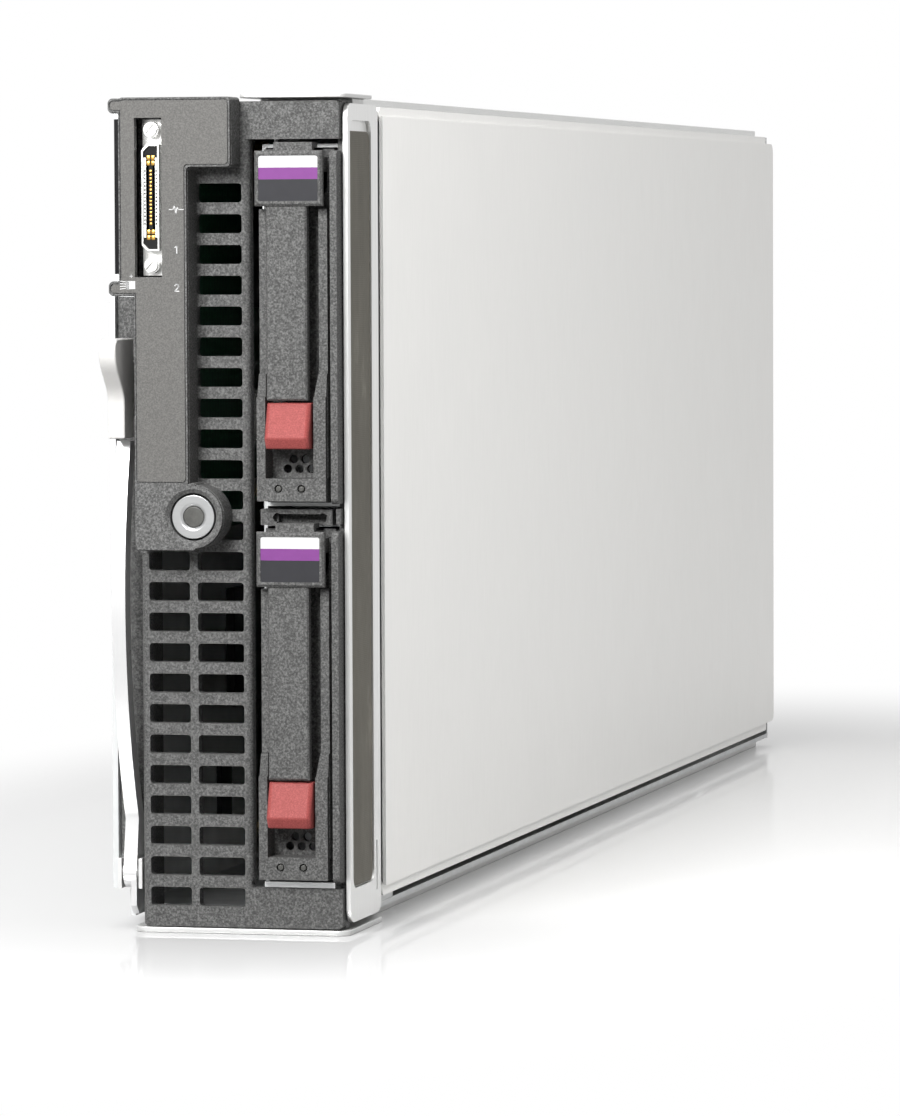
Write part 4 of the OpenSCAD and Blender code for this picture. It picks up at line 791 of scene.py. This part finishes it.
def soft_lamp(name, place, target, size, power):
    bpy.ops.object.select_all(action="DESELECT")
    bpy.ops.object.light_add(type="AREA", location=place)
    lamp = bpy.context.object
    lamp.name = name
    lamp.data.shape = "RECTANGLE"
    lamp.data.size, lamp.data.size_y = size
    lamp.data.energy = power
    aim(lamp, target)
    return lamp


def make_lamps():
    soft_lamp("Front lamp", (-0.1, -0.78, 0.38), (0, -0.25, 0.14), (0.25, 0.25), 4.2)
    soft_lamp("Key lamp", (-0.5, -1.6, 1.3), (0, -0.2, 0.1), (0.9, 0.9), 7)
    soft_lamp("Top lamp", (0.15, -0.3, 2.0), (0.05, -0.2, 0), (1.8, 1.8), 33)
    panel_lamp = soft_lamp("Panel lamp", (0.4, -0.5, 0.5), (0.03, -0.2, 0.15), (0.3, 0.3), 9)
    panel_lamp.light_linking.receiver_collection = bpy.data.collections.new("Steel side")


def make_camera(scene, settings):
    bpy.ops.object.select_all(action="DESELECT")
    bpy.ops.object.camera_add(location=settings.camera_place)
    camera = bpy.context.object
    camera.name = "Camera"
    yaw, pitch, roll = settings.camera_yaw, settings.camera_pitch, settings.camera_roll
    forward = Vector((-math.sin(yaw) * math.cos(pitch), math.cos(yaw) * math.cos(pitch), -math.sin(pitch)))
    level_right = Vector((math.cos(yaw), math.sin(yaw), 0))
    level_up = level_right.cross(forward)
    right = math.cos(roll) * level_right + math.sin(roll) * level_up
    up = -math.sin(roll) * level_right + math.cos(roll) * level_up
    camera.rotation_euler = Matrix((right, up, -forward)).transposed().to_euler()
    camera.data.sensor_fit = "VERTICAL"
    camera.data.sensor_height = 36
    camera.data.lens = settings.lens / MM
    camera.data.clip_start = 0.05
    camera.data.clip_end = 50
    scene.camera = camera


class BLADE_OT_mouldings(bpy.types.Operator):
    """Round the edges of the bezel, the release lever and button, the power button, the carriers, the ejectors and
    the sheet parts
    """

    bl_idname = "blade.mouldings"
    bl_label = "Rounded mouldings"

    def execute(self, context):
        sizes = context.scene.blade_sizes
        soft, sheet = sizes.moulding_bevel, sizes.sheet_bevel
        softened("front_bezel", "bezel_moulding", 0.7 * soft, "chassis")
        softened("release_lever", "release_lever_casting", 1.4 * soft, "release_lever")
        softened("release_button", "release_button_moulding", 1.6 * soft, "release_button")
        softened("top_lid", "lid_plate", sheet, "chassis")
        softened("base_lip", "base_plate_lip", sheet, "chassis")
        softened("power_button", "power_button_ring", 0.6 * soft, "power_button")
        for number in (1, 2):
            softened(f"drive_{number}_carrier", f"carrier_{number}_moulding", 0.6 * soft, f"drive_{number}")
            softened(f"drive_{number}_lever", f"ejector_{number}_moulding", 0.8 * soft, f"drive_{number}_lever")
            softened(f"drive_{number}_button", f"eject_button_{number}_moulding", soft, f"drive_{number}_button")
        return {"FINISHED"}


class BLADE_OT_labels(bpy.types.Operator):
    """Lay a three-band label in the seat of each ejector"""

    bl_idname = "blade.labels"
    bl_label = "Drive labels"

    def execute(self, context):
        thickness = context.scene.blade_sizes.label_thickness
        for number in (1, 2):
            lever = Place(f"drive_{number}_lever")
            inset = 0.95 * MM
            x0, x1 = lever.x0 + inset, lever.x1 - inset
            z1 = Place(f"drive_{number}_carrier").z1 - 1.5 * MM
            z0 = z1 - 9.7 * MM
            y = BEZEL_Y - 4.8 * MM
            bands = [("white", 0.26), ("violet", 0.26), ("dark", 0.48)]
            top = z1
            for shade_name, share in bands:
                low = top - share * (z1 - z0)
                band = block(f"label_{number}_{shade_name}", x0, x1, y - thickness, y + 0.01 * MM, low, top)
                end = {"white": z1, "dark": z0}.get(shade_name)
                if end is not None:
                    bevel_corners(
                        band, lambda middle, along: abs(along.y) > 0.9 and abs(middle.z - end) < 0.1 * MM, 0.6 * MM
                    )
                smooth(band)
                settle(band, f"drive_{number}_lever", "carrier_plastic", f"label_{shade_name}")
                top = low
        return {"FINISHED"}


class BLADE_OT_connector(bpy.types.Operator):
    """Fill the front connector with contacts and slot its two screws"""

    bl_idname = "blade.connector"
    bl_label = "Front connector"

    def execute(self, context):
        insert = Place("io_insert")
        x, z, y = insert.middle.x, insert.middle.z, insert.y0
        pitch = 0.81 * MM
        first = z + 5.7 * MM
        proud = 0.25 * MM
        small = block(
            "connector_signal_contacts", x - 0.3 * MM, x + 0.3 * MM, y - proud, y + 0.5 * MM,
            first - 0.25 * MM, first + 0.25 * MM,
        )
        round_edges(small, 0.1 * MM, 2)
        row(small, 15, (0, 0, -pitch))
        pads = block(
            "connector_power_contacts", x - 0.95 * MM, x - 0.08 * MM, y - proud, y + 0.5 * MM,
            z + 6.9 * MM, z + 7.9 * MM,
        )
        round_edges(pads, 0.15 * MM, 2)
        steps = [(1.03 * MM * i, 0, step * MM) for i in (0, 1) for step in (0, 1.2, -14.8, -16.0)]
        pads = copy_to(pads, steps[1:])
        for piece in (small, pads):
            smooth(piece)
            settle(piece, "chassis", "connector_metal", "gold")
        strips = [
            block(
                "connector_side_strips", x + side * 1.3 * MM - 0.28 * MM, x + side * 1.3 * MM + 0.28 * MM,
                y - 0.2 * MM, y + 0.2 * MM, z - 8.6 * MM, z + 8.6 * MM,
            )
            for side in (-1, 1)
        ]
        strips = join(strips, "connector_side_strips")
        settle(strips, "chassis", "connector_metal")
        dots = block(
            "connector_side_holes", x - 1.42 * MM, x - 1.14 * MM, y - 0.23 * MM, y + 0.1 * MM,
            first - 0.2 * MM, first + 0.2 * MM,
        )
        row(dots, 15, (0, 0, -pitch))
        row(dots, 2, (2.56 * MM, 0, 0))
        settle(dots, "chassis", "connector_black")
        for number, (low, high) in enumerate(solids("jack_sockets"), 1):
            middle = (low + high) / 2
            head = rod(
                f"connector_screw_{number}", "Y", 1.45 * MM, (middle.x, low.y - 0.1 * MM, middle.z), 0.9 * MM, 32
            )
            turn = (0, math.radians(-50), 0)
            cut(head, bar("slot", (middle.x, low.y - 0.6 * MM, middle.z), (5 * MM, 0.9 * MM, 0.6 * MM), turn))
            round_edges(head, 0.12 * MM, 2)
            smooth(head)
            settle(head, "chassis", "connector_metal")
        return {"FINISHED"}


class BLADE_OT_print(bpy.types.Operator):
    """Print the plain signs on the overlay"""

    bl_idname = "blade.print"
    bl_label = "Overlay signs"

    def execute(self, context):
        overlay = Place("panel_overlay")
        right = Place("io_shell").x1 + 4.1 * MM
        y0, y1 = overlay.y0 - 0.02 * MM, overlay.y0 + 0.01 * MM
        middle = Place("io_shell").middle.z

        def sign(name, x, z, points, width=0.26):
            spots = [(x + a * MM, z + b * MM) for a, b in points]
            return stroke(name, spots, width * MM, y0, y1)

        pulse = [(-1.6, 0), (-0.75, 0), (-0.4, 0.9), (-0.1, -1.05), (0.2, 0.55), (0.45, 0), (1.6, 0)]
        one = [(-0.35, 0.45), (0.05, 0.78), (0.05, -0.78)]
        two = [(-0.42, 0.42), (-0.25, 0.72), (0.2, 0.74), (0.42, 0.4), (0.3, 0.05), (-0.44, -0.74), (0.48, -0.74)]
        plus = [(-0.3, 0), (0.3, 0)], [(0, -0.3), (0, 0.3)]
        pieces = [
            sign("sign_pulse", right, middle - 2.6 * MM, pulse, 0.2),
            sign("sign_one", right, middle - 11.2 * MM, one),
            sign("sign_two", right, middle - 19.4 * MM, two),
        ]
        corner_x, corner_z = overlay.x0 + 3.9 * MM, middle - 18.8 * MM
        for reach in (-0.75, -0.25, 0.25, 0.75):
            pieces.append(sign("sign_plug_wire", corner_x, corner_z, [(-1.9, 1.15 * reach), (0, 0.8 * reach)], 0.2))
        pieces.append(sign("sign_plug_body", corner_x, corner_z, [(0, 0), (0.95, 0)], 1.75))
        for line in plus:
            pieces.append(sign("sign_plus", corner_x + 0.6 * MM, corner_z + 1.9 * MM, line, 0.16))
        printed = join(pieces, "overlay_signs")
        settle(printed, "chassis", "overlay_print", "print_white")
        return {"FINISHED"}


class BLADE_OT_lamps(bpy.types.Operator):
    """Set the status lamps in the carriers and finish the power button"""

    bl_idname = "blade.lamps"
    bl_label = "Status lamps"

    def execute(self, context):
        for number in (1, 2):
            carrier = Place(f"drive_{number}_carrier")
            y = BEZEL_Y - 2.95 * MM
            lens = rod(
                f"status_lamps_{number}", "Y", 0.62 * MM,
                (carrier.x0 + 4.75 * MM, y + 0.6 * MM, carrier.z0 + 3.3 * MM), 1.2 * MM, 24,
            )
            round_edges(lens, 0.22 * MM, 3)
            row(lens, 2, (5.1 * MM, 0, 0))
            smooth(lens)
            settle(lens, f"drive_{number}", "lamp_grey")
        softened("power_lamp", "power_lamp_lens", 0.35 * MM, "power_button", 4)
        return {"FINISHED"}


class BLADE_OT_sheetwork(bpy.types.Operator):
    """Round the edges of the side frame, the access panel, the rails and the cage"""

    bl_idname = "blade.sheetwork"
    bl_label = "Sheet-metal parts"

    def execute(self, context):
        sheet = context.scene.blade_sizes.sheet_bevel
        softened("side_frame", "side_frame_pressing", 1.6 * sheet, "chassis", 3)
        sheet_panel = softened("access_panel", "access_panel_sheet", 1.2 * sheet, "access_panel", 2)
        bpy.data.collections["Steel side"].objects.link(sheet_panel)
        softened("guide_rails", "guide_rail_strips", 0.8 * sheet, "chassis", 2)
        softened("emi_gasket", "gasket_strip", 0.9 * sheet, "chassis", 3)
        softened("drive_cage", "drive_cage_sheet", 0.5 * sheet, "chassis", 2)
        softened("label_tab", "pull_tab", 0.8 * sheet, "label_tab", 2)
        softened("tab_sleeve", "pull_tab_sleeve", 0.5 * sheet, "chassis", 2)
        softened("lever_pin", "lever_pivot", 0.6 * sheet, "chassis", 2)
        return {"FINISHED"}


def chip(name, place, y, z, size, height=1.2 * MM, kind="connector_black"):
    """A chip on a board that faces +X; place is the board's face, size its width along Y and Z."""
    piece = block(
        name, place - 0.02 * MM, place + height, y - size[0] / 2, y + size[0] / 2, z - size[1] / 2, z + size[1] / 2
    )
    round_edges(piece, 0.15 * MM, 1)
    return piece, kind


class BLADE_OT_board(bpy.types.Operator):
    """Populate the system board, the memory modules and the two cards"""

    bl_idname = "blade.board"
    bl_label = "Board parts"

    def execute(self, context):
        board = Place("system_board")
        face = board.x1
        mid = board.middle.z
        front, rear = Place("heatsink_front").y0, Place("power_inductors").y0
        capacitor = rod("board_capacitors", "X", 3.1 * MM, (face + 3.6 * MM, front - 9 * MM, mid + 12 * MM), 7.2 * MM, 20)
        round_edges(capacitor, 0.35 * MM, 2)
        places = [(0, z) for z in range(9, 64, 9)] + [(0, z) for z in range(-24 - 9 * 6, -23, 9)]
        places += [(rear - front - 8 * MM, z) for z in (-30, -14, 2, 18, 34)]
        capacitor = copy_to(capacitor, [(0, y, z * MM) for y, z in places])
        smooth(capacitor)
        settle(capacitor, "chassis", "sink_aluminium")
        chips = [
            chip("board_chips", face, front - 38 * MM, mid - 34 * MM, (27 * MM, 27 * MM), 2 * MM),
            chip("board_chips", face, front - 30 * MM, mid + 52 * MM, (17 * MM, 17 * MM), 1.4 * MM),
            chip("board_chips", face, front - 56 * MM, mid - 66 * MM, (9 * MM, 14 * MM)),
            chip("board_chips", face, rear - 12 * MM, mid - 12 * MM, (14 * MM, 14 * MM), 1.4 * MM),
            chip("board_chips", face, rear + 18 * MM, mid + 46 * MM, (8 * MM, 12 * MM)),
        ]
        chips = join([piece for piece, kind in chips], "board_chips")
        settle(chips, "chassis", "board_green", "connector_black")
        small = block(
            "board_small_parts", face - 0.02 * MM, face + 0.9 * MM, front - 62 * MM, front - 60.4 * MM,
            mid + 18 * MM, mid + 18.8 * MM,
        )
        row(small, 9, (0, 0, 2.1 * MM))
        row(small, 5, (0, 4.6 * MM, 0))
        settle(small, "chassis", "board_green", "socket_ivory")
        lands = block(
            "board_small_ends", face - 0.02 * MM, face + 0.95 * MM, front - 62.3 * MM, front - 61.9 * MM,
            mid + 17.9 * MM, mid + 18.9 * MM,
        )
        row(lands, 9, (0, 0, 2.1 * MM))
        row(lands, 2, (0, 2.2 * MM, 0))
        row(lands, 5, (0, 4.6 * MM, 0))
        settle(lands, "chassis", "board_green", "connector_metal")
        self.memory_chips()
        self.card_chips()
        return {"FINISHED"}

    def memory_chips(self):
        rows = []
        for low, high in solids("memory_modules"):
            for z0, z1 in ((high.z - 0.02 * MM, high.z + 0.9 * MM), (low.z - 0.9 * MM, low.z + 0.02 * MM)):
                memory = block(
                    "memory_chips", low.x + 12 * MM, low.x + 22 * MM, low.y + 6 * MM, low.y + 14 * MM, z0, z1
                )
                row(memory, 9, (0, 14.1 * MM, 0))
                rows.append(memory)
        settle(join(rows, "memory_chips"), "chassis", "socket_black")

    def card_chips(self):
        pieces = []
        for low, high in solids("mezzanine_sinks"):
            z = (low.z + high.z) / 2
            for y, size in ((low.y - 14 * MM, (12 * MM, 12 * MM)), (high.y + 8 * MM, (6 * MM, 10 * MM))):
                pieces.append(chip("card_chips", low.x, y, z, size)[0])
        settle(join(pieces, "card_chips"), "chassis", "mezz_blue", "connector_black")


class BLADE_OT_rear(bpy.types.Operator):
    """Put the contacts into the two rear connectors"""

    bl_idname = "blade.rear"
    bl_label = "Rear contacts"

    def execute(self, context):
        signal, power = Place("signal_connector"), Place("power_connector")
        pin = block(
            "signal_contacts", signal.x0 + 3.6 * MM, signal.x0 + 4.2 * MM, signal.y1 - 9.5 * MM, signal.y1 - 2 * MM,
            signal.z0 + 3.7 * MM, signal.z0 + 4.3 * MM,
        )
        row(pin, 8, (2.1 * MM, 0, 0))
        row(pin, 10, (0, 0, 4 * MM))
        settle(pin, "chassis", slot_of("signal_connector"), "gold")
        blade = block(
            "power_contacts", power.x0 + 4 * MM, power.x0 + 14 * MM, power.y1 - 10.5 * MM, power.y1 - 2.5 * MM,
            power.z0 + 3.1 * MM, power.z0 + 3.9 * MM,
        )
        row(blade, 4, (0, 0, 5 * MM))
        settle(blade, "chassis", slot_of("power_connector"), "gold")
        return {"FINISHED"}


class BLADE_OT_disks(bpy.types.Operator):
    """Finish the disks: a pressed cover, a spindle ring and cover screws"""

    bl_idname = "blade.disks"
    bl_label = "Disk details"

    def execute(self, context):
        for number in (1, 2):
            disk = Place(f"drive_{number}_disk")
            face = disk.x1
            z = disk.middle.z
            cover = block(
                f"disk_{number}_cover", face - 0.02 * MM, face + 0.22 * MM, disk.y0 + 3 * MM, disk.y1 - 6 * MM,
                disk.z0 + 3 * MM, disk.z1 - 3 * MM,
            )
            bevel_corners(cover, lambda middle, along: abs(along.x) > 0.9, 7 * MM, 6)
            round_edges(cover, 0.12 * MM, 2)
            ring = rod(f"disk_{number}_spindle", "X", 11 * MM, (face + 0.2 * MM, disk.y0 + 62 * MM, z), 0.5 * MM, 48)
            cut(ring, rod("hole", "X", 8.5 * MM, (face + 0.4 * MM, disk.y0 + 62 * MM, z), 0.5 * MM, 48))
            screw = rod(
                f"disk_{number}_screws", "X", 1.6 * MM, (face + 0.25 * MM, disk.y0 + 6.5 * MM, disk.z0 + 6.5 * MM),
                0.5 * MM, 20,
            )
            cut(screw, rod("recess", "X", 0.8 * MM, (face + 0.5 * MM, disk.y0 + 6.5 * MM, disk.z0 + 6.5 * MM), 0.4 * MM, 6))
            length, height = disk.y1 - disk.y0 - 16 * MM, disk.z1 - disk.z0 - 13 * MM
            screw = copy_to(screw, [(0, y * length, z_share * height) for y in (0, 0.5, 1) for z_share in (0, 1) if y or z_share])
            for piece in (cover, ring, screw):
                smooth(piece)
                settle(piece, f"drive_{number}", "disk_aluminium", "screw_steel" if piece is screw else None)
        return {"FINISHED"}


class BLADE_PT_panel(bpy.types.Panel):
    """Lists the blade's operators and settings"""

    bl_label = "Blade server"
    bl_idname = "BLADE_PT_panel"
    bl_space_type = "VIEW_3D"
    bl_region_type = "UI"
    bl_category = "Blade server"

    def draw(self, context):
        for operator in OPERATORS:
            self.layout.operator(operator.bl_idname)
        for group in ("blade_colours", "blade_sizes", "stage_settings"):
            settings = getattr(context.scene, group)
            box = self.layout.box()
            for name in settings.bl_rna.properties.keys():
                if name not in ("rna_type", "name"):
                    box.prop(settings, name)


GROUPS = {"blade_colours": BladeColours, "blade_sizes": BladeSizes, "stage_settings": StageSettings}
OPERATORS = (
    BLADE_OT_finishes, BLADE_OT_stage, BLADE_OT_mouldings, BLADE_OT_sheetwork, BLADE_OT_labels, BLADE_OT_connector,
    BLADE_OT_print, BLADE_OT_lamps, BLADE_OT_board, BLADE_OT_rear, BLADE_OT_disks,
)


def register():
    for cls in (*GROUPS.values(), *OPERATORS, BLADE_PT_panel):
        bpy.utils.register_class(cls)
    for name, group in GROUPS.items():
        setattr(bpy.types.Scene, name, PointerProperty(type=group))


def unregister():
    for name in GROUPS:
        delattr(bpy.types.Scene, name)
    for cls in (BLADE_PT_panel, *reversed(OPERATORS), *GROUPS.values()):
        bpy.utils.unregister_class(cls)


def main():
    register()
    bpy.ops.blade.finishes()
    bpy.ops.blade.stage()
    bpy.ops.blade.mouldings()
    bpy.ops.blade.sheetwork()
    bpy.ops.blade.labels()
    bpy.ops.blade.connector()
    bpy.ops.blade.print()
    bpy.ops.blade.lamps()
    bpy.ops.blade.board()
    bpy.ops.blade.rear()
    bpy.ops.blade.disks()


if __name__ == "__main__":
    main()
